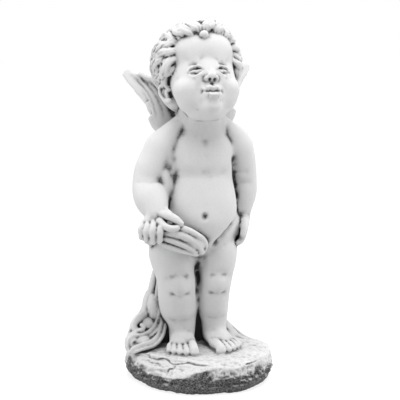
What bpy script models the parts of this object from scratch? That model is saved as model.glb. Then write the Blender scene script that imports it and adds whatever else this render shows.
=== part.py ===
"""A garden figurine of a standing cherub on a flat rock, cast in one piece.

The child looks up, gathers a swag of cloth in the right hand and lets the rest of it fall
behind the legs and onto the rock. It faces -Y, +Z is up, and the origin is on the underside
of the rock, below the middle. The rock is in metres. Places and sizes within the figure are
percent of its height from sole to crown, with x to the viewer's right, y to the back and
z up from the soles. The head, a foot and a wing have frames of their own, in the same unit.
"""

import math
import random

import bmesh
import bpy
import numpy as np
from mathutils import Matrix, Vector, noise

FIGURE_HEIGHT = 0.46
BASE_WIDTH = 0.212
BASE_DEPTH = 0.188
BASE_HEIGHT = 0.0426
SOLE_SINK = 0.0010
STAND_RIGHT = 0.010
STAND_BACK = 0.014

VOXEL = 0.0020
SOLID_TRIANGLES = 9700
SOFT_ROUNDS = 20
HEAD_ROUNDS = 14
CREASE_ROUNDS = 3
CRISP_ROUNDS = 2

STONE_COLOUR = (0.80, 0.80, 0.79, 1.0)
STONE_ROUGHNESS = 0.8

FRONT = (0, -1, 0)
UP = (0, 0, 1)

HEAD_CENTRE = (-1.3, 1.7, 84.5)
HEAD_SIZE = 1.11
HEAD_LOOKS_UP = 22
HEAD_TURNS = 3
HEAD_LEANS = 0
SKULL_CENTRE = Vector((0, 1.8, 3.2))
SKULL_RADII = Vector((10.6, 12.0, 9.6))

EYE_CENTRE = Vector((3.8, -6.8, -2.6))
EYE_RADIUS = 2.6
EYE_CORNER = 2.15
EYE_FRONT = -9.6

RIGHT_ANKLE = (-7.4, 0.6, 0)
RIGHT_FOOT_TURNS = -8
LEFT_ANKLE = (3.0, 0.6, 0)
LEFT_FOOT_TURNS = 13


def curve_through(stations, steps):
    """Rows of numbers that pass smoothly through the given rows."""
    rows = np.array(stations, float)
    padded = np.vstack([2 * rows[0] - rows[1], rows, 2 * rows[-1] - rows[-2]])
    made = []
    for a, b, c, d in zip(padded, padded[1:], padded[2:], padded[3:]):
        for t in np.linspace(0, 1, steps, endpoint=False):
            made.append(
                0.5 * (2 * b + (c - a) * t + (2 * a - 5 * b + 4 * c - d) * t**2
                       + (3 * b - a - 3 * c + d) * t**3)
            )
    made.append(rows[-1])
    return np.array(made)


def skin_rings(shape, rings):
    """Closes a row of equally long rings of points into one tube with flat ends."""
    loops = [[shape.verts.new(point) for point in ring] for ring in rings]
    for low, high in zip(loops, loops[1:]):
        for k in range(len(low)):
            shape.faces.new((low[k], low[k - 1], high[k - 1], high[k]))
    shape.faces.new(loops[0])
    shape.faces.new(reversed(loops[-1]))


def sweep(shape, stations, facing=FRONT, away=None, steps=4, sides=12, ridges=0, groove=0.0, drift=0.0):
    """A closed tube through stations of (x, y, z, half width, half thickness) with round ends.

    The thickness lies along facing, or away from a point. Ridges run along the tube.
    """
    rows = curve_through(stations, steps)
    sections = []
    for row, way in zip(rows, np.gradient(rows[:, :3], axis=0)):
        centre, along = Vector(row[:3]), Vector(way).normalized()
        out = Vector(facing) if away is None else centre - Vector(away)
        side = along.cross(out).normalized()
        sections.append((centre, along, side, side.cross(along), row[3], row[4]))
    closing = (0.35, 0.7, 0.93)

    def rounded(section, reach):
        centre, along, side, out, wide, thick = section
        shrink = math.sqrt(1 - reach**2)
        centre = centre + along * (reach * min(wide, thick))
        return (centre, along, side, out, wide * shrink, thick * shrink)

    start, end = sections[0], sections[-1]
    sections = (
        [rounded(start, -reach) for reach in reversed(closing)]
        + sections
        + [rounded(end, reach) for reach in closing]
    )
    turn = np.linspace(0, 2 * math.pi, sides, endpoint=False)
    rings = []
    for k, (centre, _, side, out, wide, thick) in enumerate(sections):
        phase = ridges * math.pi * np.cos(turn)
        if drift:
            t = drift * k / len(sections)
            fold = 1.4 * np.abs(np.cos(0.5 * phase + t)) + 0.6 * np.cos(0.43 * phase - 1.7 * t + 1) - 0.7
        else:
            fold = np.cos(phase)
        swell = 1 + groove * fold * (ridges > 0)
        rings.append([
            centre + side * (wide * u) + out * (thick * v) for u, v in zip(np.cos(turn), np.sin(turn) * swell)
        ])
    skin_rings(shape, rings)


def ball(shape, centre, radii, turn=(0, 0, 0), segments=20):
    """An ellipsoid, turned by degrees about X, Y and Z."""
    place = Matrix.Translation(centre)
    for angle, axis in zip(turn, "XYZ"):
        place = place @ Matrix.Rotation(math.radians(angle), 4, axis)
    bmesh.ops.create_uvsphere(
        shape, u_segments=segments, v_segments=segments * 2 // 3, radius=1,
        matrix=place @ Matrix.Diagonal((*radii, 1)),
    )


def limb(shape, rows, sides=16):
    """A round tube through rows of (x, y, z, radius)."""
    sweep(shape, [(x, y, z, r, r) for x, y, z, r in rows], sides=sides)


def place_into(shape, made, place):
    """Moves made by place and adds it to shape."""
    made.transform(place)
    mesh = bpy.data.meshes.new("placed")
    made.to_mesh(mesh)
    made.free()
    shape.from_mesh(mesh)
    bpy.data.meshes.remove(mesh)


def add_torso(shape):
    sweep(shape, [
        (-3.2, 1.8, 29.5, 10.0, 6.4), (-2.9, 1.2, 33, 12.4, 8.0), (-2.2, 0.1, 37, 12.0, 8.9),
        (-1.8, -1.2, 41, 11.6, 8.8), (-1.4, -1.4, 45, 11.1, 8.2), (-1.2, -0.8, 49, 10.5, 7.4),
        (-1.0, 0.1, 53, 10.0, 7.0), (-0.9, 0.6, 57, 10.5, 7.4), (-0.8, 1.1, 61, 10.9, 7.2),
        (-0.7, 1.6, 64.5, 9.8, 6.6), (-0.5, 1.5, 68, 7.9, 6.6), (-0.7, 1.1, 72, 7.3, 7.0),
        (-1.0, 1.4, 77, 6.9, 7.0),
    ], sides=28)
    ball(shape, (-2.0, -3.6, 41), (9.0, 7.0, 8.0))
    ball(shape, (-12.6, 0.2, 50.6), (2.8, 4.2, 7.4))
    ball(shape, (8.4, 0.6, 38), (3.0, 4.6, 5.6))
    for side in (-1, 1):
        ball(shape, (-3.2 + side * 5.0, 6.2, 32.6), (5.7, 5.4, 5.8))
        ball(shape, (-0.9 + side * 5.6, 5.6, 60), (4.6, 3.4, 6.0))


def add_shoulders(shape):
    for neck, middle, shoulder in (
        ((-3.2, 2.2, 70.8, 3.8), (-8.4, 2.0, 67.0, 3.9), (-13.2, 1.3, 62.6, 4.9)),
        ((2.0, 2.2, 70.8, 3.8), (6.0, 2.2, 67.6, 3.7), (10.6, 1.6, 63.0, 4.7)),
    ):
        limb(shape, [neck, middle, shoulder])
    ball(shape, (-10.9, -0.4, 57.2), (2.8, 3.3, 6.2))


def add_right_arm(shape):
    limb(shape, [
        (-13.4, 1.2, 62.2, 5.0), (-14.7, 1.2, 59.0, 5.1), (-16.4, 0.9, 55.4, 5.2),
        (-17.4, 0.4, 52.2, 4.9), (-17.6, -1.2, 49.4, 5.1), (-17.2, -3.8, 46.8, 5.1),
        (-16.7, -6.2, 44.6, 4.2), (-16.6, -7.8, 43.0, 3.3),
    ], sides=20)
    ball(shape, (-17.2, -8.8, 41.0), (4.0, 2.2, 3.0), turn=(-14, 6, 0))
    limb(shape, [(-16.0, -8.0, 43.0, 2.3), (-14.2, -9.2, 43.6, 1.9), (-12.8, -10.4, 43.0, 1.4)])


def add_right_fingers(shape):
    for knuckle, middle, end, thick in (
        ((-16.0, -10.4, 41.0), (-16.4, -12.5, 38.8), (-16.5, -12.2, 36.0), 1.0),
        ((-17.9, -10.2, 41.2), (-18.6, -12.1, 38.8), (-18.4, -11.8, 35.6), 1.02),
        ((-19.4, -9.5, 41.0), (-20.3, -11.3, 38.9), (-20.1, -11.1, 35.9), 0.95),
        ((-20.6, -8.5, 40.8), (-21.7, -9.9, 39.2), (-21.6, -10.0, 36.8), 0.85),
    ):
        bend = Vector(middle).lerp(Vector(knuckle), 0.45) + Vector((0, -0.5, 0.2))
        limb(shape, [
            (*knuckle, thick * 1.15), (*bend, thick), (*middle, thick * 1.08),
            (*Vector(middle).lerp(Vector(end), 0.6), thick * 0.92), (*end, thick * 0.9),
        ], sides=10)
    limb(shape, [
        (-15.6, -9.4, 43.6, 1.6), (-13.2, -11.0, 43.0, 1.4), (-11.6, -12.0, 42.2, 1.25),
        (-10.2, -12.5, 41.1, 1.0),
    ], sides=10)
    limb(shape, [
        (-16.2, -10.8, 41.6, 1.2), (-15.0, -12.4, 40.4, 1.1), (-13.2, -13.2, 39.8, 1.0),
        (-11.4, -13.0, 39.9, 0.9),
    ], sides=10)


def add_left_arm(shape):
    limb(shape, [
        (10.8, 1.5, 62.2, 4.8), (11.7, 1.9, 58.8, 4.7), (12.4, 2.4, 54.6, 4.6),
        (12.9, 2.7, 51.0, 4.4), (12.9, 2.5, 48.0, 4.4), (12.5, 2.1, 45.0, 4.0),
        (12.2, 1.6, 42.0, 3.2), (12.3, 1.2, 40.2, 2.8),
    ], sides=20)
    sweep(shape, [
        (12.4, 1.0, 39.6, 2.3, 2.8), (12.2, 0.5, 37.8, 2.1, 3.4), (11.8, 0.2, 36.2, 1.9, 3.3),
    ])


def add_left_fingers(shape):
    for y, reach in ((-2.6, 4.6), (-0.9, 5.2), (0.8, 4.9), (2.4, 4.0)):
        limb(shape, [
            (12.1, y * 0.9, 36.8, 1.1), (11.6, y, 36.8 - reach * 0.45, 1.08),
            (10.9, y - 0.2, 36.8 - reach * 0.78, 0.98), (10.0, y - 0.4, 36.8 - reach * 0.92, 0.9),
        ], sides=10)
    limb(shape, [(12.1, -1.8, 38.8, 1.4), (11.7, -3.7, 37.2, 1.25), (11.1, -4.5, 35.4, 1.05)], sides=10)


def add_legs(shape):
    sweep(shape, [
        (-9.4, 1.2, 34, 6.4, 7.0), (-10.1, 0.6, 30.5, 7.4, 7.9), (-9.9, -0.2, 27, 7.0, 7.6),
        (-9.4, -0.8, 23.5, 6.3, 6.8), (-9.0, -1.2, 20.5, 6.2, 6.4), (-8.8, -0.8, 17.5, 6.2, 6.0),
        (-8.4, 0.2, 14.5, 6.2, 6.1), (-8.0, 1.0, 11.5, 5.9, 6.1), (-7.5, 1.1, 9, 5.2, 5.3),
        (-7.2, 1.0, 6.6, 4.5, 4.6), (-7.2, 1.0, 3.6, 4.2, 4.8),
    ], sides=20)
    sweep(shape, [
        (3.2, 1.2, 34, 6.0, 6.8), (3.7, 0.7, 30.5, 6.6, 7.6), (3.6, 0.2, 27, 6.4, 7.2),
        (3.2, -0.2, 23.5, 5.9, 6.4), (2.9, -0.5, 20.5, 5.5, 6.1), (2.6, -0.1, 17.5, 5.4, 5.7),
        (2.6, 0.8, 14.5, 5.3, 5.8), (2.8, 1.4, 11.5, 5.1, 5.7), (3.0, 1.3, 9, 4.7, 5.0),
        (3.1, 1.1, 6.6, 4.2, 4.3), (3.2, 1.0, 3.6, 4.0, 4.6),
    ], sides=20)


def foot_place(ankle, turns):
    """From a foot's own frame, heel at the back and toes along -Y, to the figure's."""
    return Matrix.Translation(ankle) @ Matrix.Rotation(math.radians(turns), 4, "Z")


def add_foot(shape, ankle, turns, inner):
    """The block of a foot, with the arch on the side of the big toe. Inner is 1 for +X."""
    foot = bmesh.new()
    sweep(foot, [
        (0, 3.4, 2.2, 3.0, 2.3), (0, 0.4, 3.0, 3.7, 3.2), (inner * 0.1, -3.4, 2.7, 4.1, 2.8),
        (inner * 0.2, -6.6, 1.8, 4.4, 1.9),
    ], facing=UP, sides=16)
    ball(foot, (0, -1.6, 3.6), (3.3, 5.0, 3.0))
    place_into(shape, foot, foot_place(ankle, turns))


def add_toes(shape, ankle, turns, inner):
    foot = bmesh.new()
    for across, reach, thick in (
        (3.1, 13.0, 1.6), (0.85, 12.9, 1.08), (-1.05, 12.3, 1.0), (-2.8, 11.3, 0.95), (-4.3, 10.1, 0.88),
    ):
        x = across * inner
        limb(foot, [
            (x * 0.84, -5.8, 1.9, thick * 1.1), (x * 0.95, -reach * 0.7, 2.0, thick * 0.95),
            (x, -reach * 0.86, 1.7, thick * 0.9), (x, -reach + thick, 1.25, thick * 1.08),
        ], sides=12)
    place_into(shape, foot, foot_place(ankle, turns))


def head_place():
    return (
        Matrix.Translation(HEAD_CENTRE)
        @ Matrix.Rotation(math.radians(HEAD_TURNS), 4, "Z")
        @ Matrix.Rotation(math.radians(HEAD_LEANS), 4, "Y")
        @ Matrix.Rotation(math.radians(-HEAD_LOOKS_UP), 4, "X")
        @ Matrix.Scale(HEAD_SIZE, 4)
    )


def sculpt_head():
    """The skull, forehead, cheeks, jaw and chins as one soft skin."""
    head = bmesh.new()
    ball(head, SKULL_CENTRE, SKULL_RADII, segments=32)
    ball(head, (0, -2.2, -3.4), (9.0, 8.6, 8.7), segments=28)
    ball(head, (0, -4.8, 4.4), (8.4, 6.0, 6.6), segments=24)
    ball(head, (0, -6.4, -8.4), (4.4, 4.6, 4.2))
    ball(head, (0, -7.3, -12.1), (3.1, 3.0, 2.5))
    ball(head, (0, -4.0, -10.6), (6.3, 5.2, 3.8))
    ball(head, (0, -3.2, -12.4), (5.6, 5.2, 2.6))
    for side in (-1, 1):
        ball(head, (side * 5.1, -4.7, -6.7), (4.2, 4.6, 4.1))
        ball(head, (side * 4.3, -4.2, -9.2), (4.0, 4.4, 3.5))
    return fuse("head", head, 100 * VOXEL / FIGURE_HEIGHT / HEAD_SIZE, HEAD_ROUNDS)


def add_head(shape):
    """Skull, forehead, cheeks, jaw and chins."""
    head = bmesh.new()
    head.from_mesh(sculpt_head())
    ball(head, (0, -9.2, -8.9), (2.8, 1.9, 2.1))
    limb(head, [(0, -8.8, -1.4, 0.9), (0, -9.8, -3.1, 1.0), (0, -10.8, -4.6, 1.3)], sides=12)
    place_into(shape, head, head_place())


def add_ear(face, side):
    """The rim, the inner fold and the lobe."""
    ear = bmesh.new()
    limb(ear, [
        (side * 9.7, -0.6, -1.2, 0.7), (side * 10.6, -0.4, 0.5, 0.8), (side * 11.4, 1.0, 1.3, 0.85),
        (side * 12.0, 2.6, 0.5, 0.9), (side * 11.9, 3.0, -1.6, 0.85), (side * 11.2, 2.2, -3.6, 0.85),
        (side * 10.3, 1.0, -5.0, 1.15), (side * 9.6, 0.2, -5.0, 1.0),
    ], sides=10)
    limb(ear, [
        (side * 10.5, 0.4, -0.4, 0.55), (side * 11.0, 1.5, -0.8, 0.6), (side * 10.9, 1.8, -2.4, 0.6),
        (side * 10.2, 0.9, -3.6, 0.6),
    ], sides=8)
    ball(ear, (side * 9.9, 1.8, -1.9), (1.0, 2.2, 3.2), turn=(0, 0, side * 22))
    place_into(face, ear, Matrix.Translation((side * 1.6, 0.5, -3.8)) @ Matrix.Scale(0.76, 4))


def add_face(shape):
    """The tip of the nose, the eyeballs and the ears."""
    face = bmesh.new()
    ball(face, (0, -11.0, -4.9), (1.2, 1.25, 1.1))
    for side in (-1, 1):
        ball(face, (side * 1.2, -10.3, -5.3), (0.85, 1.05, 0.8))
        middle = Vector((side * EYE_CENTRE.x, EYE_CENTRE.y, EYE_CENTRE.z))
        ball(face, middle, [EYE_RADIUS] * 3)
        ball(face, middle + Vector((0, 0, 0.45)), (2.35, 2.4, 1.95))
        add_ear(face, side)
    place_into(shape, face, head_place())


def on_scalp(direction, lift):
    """The point over the skull in a direction from its middle."""
    reach = SKULL_RADII + Vector((lift, lift, lift))
    return SKULL_CENTRE + Vector([r * d for r, d in zip(reach, direction)])


def in_hair(direction):
    """Whether hair grows there: low on the nape, above the ears, high over the brow."""
    down = math.degrees(math.acos(max(-1, min(1, direction.z))))
    front = max(0.0, -direction.y / max(1e-6, math.hypot(direction.x, direction.y)))
    temple = max(0.0, min(1.0, (front - 0.56) / 0.16))
    return down < 114 - 36 * temple - 12 * max(0.0, (front - 0.72) / 0.28)


def scalp_seeds(count):
    """Even spots over the part of the scalp where hair grows."""
    found = []
    for k in range(count):
        z = 1 - 2 * (k + 0.5) / count
        turn = k * math.pi * (3 - math.sqrt(5))
        level = math.sqrt(1 - z * z)
        direction = Vector((level * math.cos(turn), level * math.sin(turn), z))
        if in_hair(direction):
            found.append(direction)
    return found


def combed(direction, length, wave, phase, steps=5):
    """Directions along a lock that is combed back over the skull in a wave."""
    made = [direction.copy()]
    for step in range(steps):
        here = made[-1]
        back = Vector((-0.2, 1, 3.4 * max(0.0, -here.y) * max(0.0, here.z) - 0.42))
        flow = (back - here * back.dot(here)).normalized()
        bend = wave * math.sin(phase + 2.4 * math.pi * step / steps)
        flow = flow * math.cos(bend) + here.cross(flow) * math.sin(bend)
        made.append((here + flow * (length / steps)).normalized())
    return made


def lock(hair, direction, length, wide, wave, phase, height):
    """One grooved lock: its root lies on the scalp, its end lifts off in a small hook."""
    lifts = (-0.3, 0.7, 1.0, 1.0, 0.9, 0.5)
    widths = (0.6, 0.95, 1.0, 0.95, 0.75, 0.35)
    stations = [
        (*on_scalp(point, height * lift), wide * share, 0.42 * wide * share + 0.3)
        for point, lift, share in zip(combed(direction, length, wave, phase), lifts, widths)
    ]
    sweep(hair, stations, away=SKULL_CENTRE, steps=3, sides=20, ridges=3, groove=0.24)


def add_hair(shape):
    """Short wavy locks combed back over a cap, with a roll and a small curl above the brow."""
    hair = bmesh.new()
    dice = random.Random(11)
    ball(hair, (0, 3.9, 3.6), (11.9, 11.8, 10.3), segments=32)
    ball(hair, (0, 4.8, -2.2), (10.6, 9.2, 8.2), segments=24)
    for direction in scalp_seeds(320):
        lock(hair, direction, dice.uniform(0.6, 0.9), dice.uniform(1.1, 1.5),
             dice.uniform(0.25, 0.55), dice.choice((0, math.pi)), dice.uniform(1.1, 1.5))
    # larger waves that rise from the hairline over the brow
    for across, wide, height, phase in (
        (-0.66, 1.3, 1.2, 0.2), (-0.52, 1.5, 1.6, 3.4), (-0.38, 1.6, 1.9, 0.1), (-0.24, 1.7, 2.2, 0.9),
        (-0.10, 1.6, 2.3, 0.3), (0.06, 1.6, 2.3, 3.0), (0.22, 1.6, 2.1, 3.6), (0.36, 1.5, 1.8, 0.3),
        (0.50, 1.4, 1.5, 3.2), (0.63, 1.3, 1.2, 3.0),
    ):
        up = 0.44 - 0.3 * across**2
        root = Vector((across, -math.sqrt(1 - across**2 - up**2), up))
        lock(hair, root, 0.62, wide, 0.95, phase, height)
    knob = on_scalp(Vector((-0.06, -0.93, 0.35)).normalized(), 1.1)
    ball(hair, knob, (1.2, 1.1, 1.1))
    place_into(shape, hair, head_place())


def wing_edges():
    """The edge that leads, from the back up to the tip, and the edge where the quills end."""
    leading = curve_through([
        (1.6, 5.6, 50), (2.2, 6.6, 58), (2.8, 8.4, 65), (4.0, 11.0, 71), (6.6, 14.0, 77),
        (10.4, 16.4, 81.2), (15.6, 18.6, 84.2),
    ], 6)
    trailing = curve_through([
        (6.0, 8.2, 54), (9.6, 8.8, 60), (12.0, 9.9, 66.2), (13.2, 11.8, 71.0), (13.5, 14.2, 75.2),
        (15.6, 17.0, 79.4), (18.0, 18.8, 82.2), (20.0, 20.0, 84.6),
    ], 6)
    return leading, trailing


def feather(wing, root, tip, wide, thick, facing, bow):
    """A quill that widens and ends round, with a shaft along the middle."""
    middle = root.lerp(tip, 0.5) + bow
    sweep(wing, [
        (*root, wide * 0.5, thick), (*root.lerp(middle, 0.6), wide * 0.85, thick),
        (*middle, wide, thick), (*middle.lerp(tip, 0.62), wide, thick * 0.85),
        (*tip, wide * 0.62, thick * 0.5),
    ], facing=facing, steps=4, sides=12, ridges=1, groove=-0.18)


def add_wings(shape):
    """Two raised wings: a round arm along the leading edge, long quills and rows of short ones."""
    leading, trailing = wing_edges()
    facing = Vector((0.11, -0.94, 0.33)).normalized()

    def along(edge, share):
        return Vector(edge[round(share * (len(edge) - 1))])

    for side in (-1, 1):
        wing = bmesh.new()
        limb(wing, [
            (2.0, 4.6, 52, 2.0), (2.4, 6.0, 58, 2.2), (2.8, 8.0, 64.4, 2.1), (4.0, 10.8, 70.6, 1.8),
            (6.6, 13.8, 76.6, 1.5), (10.4, 16.2, 80.8, 1.2), (15.4, 18.4, 83.8, 0.8),
        ])
        rings = []
        for share in np.linspace(0.02, 0.97, 24):
            near, far = along(leading, share), along(trailing, share).lerp(along(leading, share), 0.06)
            rings.append([near + facing * 0.5, far + facing * 0.35, far - facing * 0.35, near - facing * 0.5])
        skin_rings(wing, rings)
        rows = ((8, 1.0, 2.3, 0.0), (10, 0.66, 1.7, 0.6), (9, 0.4, 1.5, 1.1))
        for row, (quills, reach, wide, lift) in enumerate(rows):
            for k in range(quills):
                share = k / (quills - 1)
                root, far = along(leading, share * (0.5 + 0.08 * row)), along(trailing, share)
                tip = root.lerp(far, reach)
                shift = facing * -lift
                thick = 0.7 - 0.05 * row
                feather(wing, root + shift, tip + shift, wide, thick, facing, Vector((0.3, 0.3, -0.6)))
        if side < 0:
            bmesh.ops.scale(wing, vec=(-1, 1, 1), verts=wing.verts)
            bmesh.ops.reverse_faces(wing, faces=wing.faces)
        place_into(shape, wing, Matrix.Translation((-1.2, 0, 0.9 + side)))


def add_swag(shape):
    """The cloth from the right hand across the loins, and from the hand round the hips."""
    sweep(shape, [
        (-18.6, -9.4, 37.6, 2.0, 1.2), (-15.4, -10.0, 37.6, 2.9, 1.5), (-11.4, -10.4, 36.9, 3.4, 1.7),
        (-7.6, -10.1, 35.3, 3.4, 1.9), (-4.8, -9.0, 34.0, 3.1, 1.9), (-2.8, -7.4, 33.2, 2.7, 1.8),
        (-1.2, -5.4, 33.2, 2.3, 1.5), (0.2, -3.8, 33.8, 1.7, 1.1),
    ], away=(-6, 2, 38), steps=5, sides=24)
    # the folds in it, from the upper roll to the lower hem
    for thick, fold in (
        (0.95, ((-14.5, -11.5, 40.3), (-8.9, -11.9, 39.2), (-5.4, -11.2, 37.4), (-2.7, -9.6, 35.3),
                (-1.7, -8.2, 33.0), (-2.6, -7.8, 31.0))),
        (1.35, ((-15.6, -11.3, 38.6), (-11.1, -11.8, 37.9), (-7.4, -11.3, 36.2), (-4.6, -9.8, 33.9),
                (-3.3, -8.6, 31.7))),
        (0.9, ((-15.8, -11.6, 36.9), (-12.0, -11.8, 35.6), (-8.2, -11.2, 33.8), (-5.2, -9.6, 31.7))),
        (0.8, ((-16.2, -11.0, 35.2), (-12.7, -11.2, 33.7), (-8.7, -10.6, 32.2), (-4.6, -9.0, 30.8))),
    ):
        limb(shape, [(*at, thick * share) for at, share in zip(fold, (0.9, 1.05, 1.0, 0.95, 0.9, 0.8))], sides=12)
    sweep(shape, [
        (-18.2, -9.0, 38.6, 1.8, 1.2), (-19.2, -5.4, 37.2, 2.4, 1.1), (-17.2, -1.0, 35.2, 3.0, 1.2),
        (-14.4, 4.8, 33.6, 3.6, 1.4), (-9.6, 9.0, 33.0, 4.0, 1.7), (-3.4, 10.6, 33.2, 4.2, 1.9),
        (3.2, 9.4, 34.2, 3.9, 1.7), (7.6, 6.0, 35.8, 3.0, 1.3), (9.6, 2.4, 37.0, 1.9, 1.1),
    ], away=(-3.4, 0, 34), steps=5, sides=36, ridges=4, groove=0.3, drift=4.0)
    limb(shape, [
        (-19.6, -8.6, 42.2, 0.8), (-20.8, -8.8, 40.6, 0.9), (-21.2, -8.4, 38.4, 0.9),
        (-20.6, -8.6, 36.4, 0.9),
    ], sides=8)


def add_curtain(shape):
    """The cloth that hangs behind the legs, one sheet in upright folds that widen downwards."""
    folds, across = 5.0, 72
    edges = curve_through([
        (37.5, -12.2, 7.4, 8.6, 0.2), (34, -13.8, 8.4, 10.8, 0.5), (28, -14.2, 7.8, 11.2, 1.0),
        (22, -14.4, 7.2, 10.3, 1.4), (15, -15.4, 6.8, 10.2, 1.8), (9, -17.0, 7.0, 11.4, 2.2),
        (4, -19.0, 7.8, 12.8, 2.6), (-2, -20.0, 8.8, 14.2, 2.8),
    ], 4)
    rings = []
    for z, left, right, back, fold in edges:
        ring = []
        for u in np.linspace(0, 1, across):
            bulge = math.sqrt(max(0.0, 1 - abs(2 * u - 1) ** 4))
            wander = 0.35 * math.sin(0.15 * z + 4 * u) + 0.4 * math.sin(7 * u + 1.3) - 0.012 * z * u
            pleat = abs(math.cos(math.pi * (folds * u + wander))) - 0.55
            swell = 0.8 + 0.45 * math.sin(9 * u + 0.08 * z)
            y = 3 + (back - 3) * bulge + fold * swell * pleat * min(1.0, 1.4 * bulge)
            ring.append((left + (right - left) * u, y, z))
        ring += [(left + (right - left) * u, 1.2, z) for u in np.linspace(1, 0, 12)[1:-1]]
        rings.append(ring)
    skin_rings(shape, rings)


def add_heap(shape):
    """The end of the cloth, which swings out beside the right calf, curls and lies on the rock."""
    ball(shape, (-18.0, 4.6, 4.8), (5.2, 4.8, 4.8))
    ball(shape, (-20.6, 0.2, 2.2), (4.6, 4.2, 2.8))
    ball(shape, (-15.4, 5.0, 9.6), (2.4, 3.4, 6.4))
    ball(shape, (-15.4, 8.2, 9.0), (3.2, 3.4, 8.0))
    out = (-0.5, -0.75, 0.45)
    # folds: one that rolls into the scroll, one beside the calf, the hem, and two behind
    for facing, ridges, fold in (
        (out, 1, (
            (-12.0, 8.0, 27.0, 1.3, 1.1), (-14.0, 7.4, 21.2, 1.6, 1.2), (-15.3, 6.6, 15.9, 1.8, 1.3),
            (-17.0, 5.6, 11.9, 1.9, 1.3), (-18.8, 4.0, 9.4, 1.8, 1.2), (-20.9, 2.2, 8.7, 1.4, 1.1),
            (-22.2, 0.9, 7.5, 1.1, 1.0), (-22.0, 0.0, 6.0, 1.0, 0.9), (-20.5, -0.6, 5.8, 0.8, 0.8),
            (-19.5, -0.8, 6.9, 0.7, 0.7), (-20.3, -0.9, 7.7, 0.5, 0.5))),
        (out, 2, (
            (-12.8, 6.0, 19.5, 1.0, 0.8), (-13.5, 4.8, 13.9, 1.5, 1.0), (-13.8, 3.4, 10.0, 1.8, 1.1),
            (-15.0, 1.8, 6.8, 1.9, 1.1), (-17.3, 0.2, 5.0, 1.8, 1.1), (-20.1, -1.0, 4.3, 1.7, 1.0),
            (-22.8, -1.9, 4.4, 1.7, 1.0), (-24.4, -2.5, 3.6, 1.5, 1.0), (-24.8, -3.0, 2.0, 1.3, 0.9),
            (-24.6, -3.4, 0.6, 1.0, 0.8))),
        (out, 2, (
            (-12.6, 3.6, 12.6, 1.0, 0.8), (-12.9, 2.2, 8.4, 1.4, 1.0), (-14.0, 0.4, 4.6, 1.7, 1.1),
            (-16.6, -2.0, 2.6, 1.9, 1.2), (-20.2, -3.4, 2.0, 1.8, 1.1), (-23.0, -4.2, 1.2, 1.5, 1.0),
            (-24.2, -4.4, 0.2, 1.2, 0.9))),
        ((-0.9, -0.1, 0.3), 2, (
            (-12.8, 9.0, 24.0, 1.5, 1.0), (-14.2, 9.0, 17.0, 2.0, 1.2), (-15.8, 8.4, 11.6, 2.3, 1.4),
            (-18.4, 6.8, 7.8, 2.4, 1.4), (-21.4, 4.4, 5.2, 2.2, 1.3), (-23.2, 1.4, 2.6, 1.8, 1.2),
            (-24.0, -1.0, 0.8, 1.4, 1.0))),
        ((-0.8, 0.5, 0.3), 2, (
            (-11.6, 10.8, 18.0, 1.8, 1.1), (-13.4, 11.2, 11.0, 2.2, 1.4), (-15.8, 10.6, 6.0, 2.4, 1.5),
            (-19.0, 8.6, 2.6, 2.2, 1.4), (-21.6, 5.8, 0.6, 1.8, 1.2))),
    ):
        sweep(shape, fold, facing=facing, steps=5, sides=20, ridges=ridges, groove=0.26 if ridges > 1 else 0.1)


def rock_reach(angle):
    """How far the rock's edge lies from its middle, as a share of its half sizes."""
    return (
        1 - 0.052 * math.sin(2 * angle) + 0.02 * math.sin(3 * angle + 0.5)
        + 0.014 * math.sin(5 * angle + 0.4) + 0.01 * math.sin(9 * angle)
    )


def rock_top(x, y, share):
    """Height of the rock's upper side: split plates that drop to the rim, and a rise at the back."""
    height = BASE_HEIGHT * (1 - 0.16 * max(0.0, (share - 0.6) / 0.4) ** 2)
    # in front of the long split the slab lies lower and falls to the rim
    wander = 0.005 * noise.noise(Vector((30 * x, 30 * y, 4.0)))
    ahead = -0.676 * (x + 0.093) - 0.737 * (y + 0.003) + wander
    height -= 0.0032 * max(0.0, min(1.0, ahead / 0.003)) + 0.26 * max(0.0, ahead - 0.004)
    along, across = 0.74 * x - 0.68 * y, 0.68 * x + 0.74 * y
    layer = noise.noise(Vector((along * 11, across * 42, 1.7)))
    steps = 2.6 * layer
    terrace = math.floor(steps) + min(1.0, (steps - math.floor(steps)) * 4)
    rough = noise.noise(Vector((x, y, 0)) * 130)
    flat = math.exp(-(((x + 0.004) / 0.062) ** 4 + ((y + 0.03) / 0.034) ** 4))
    height += (1 - 0.85 * flat) * (0.0016 * terrace + 0.0011 * rough)
    knob = math.exp(-(((x - 0.040) / 0.026) ** 2 + ((y - 0.050) / 0.024) ** 2))
    return height + 0.032 * knob


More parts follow.
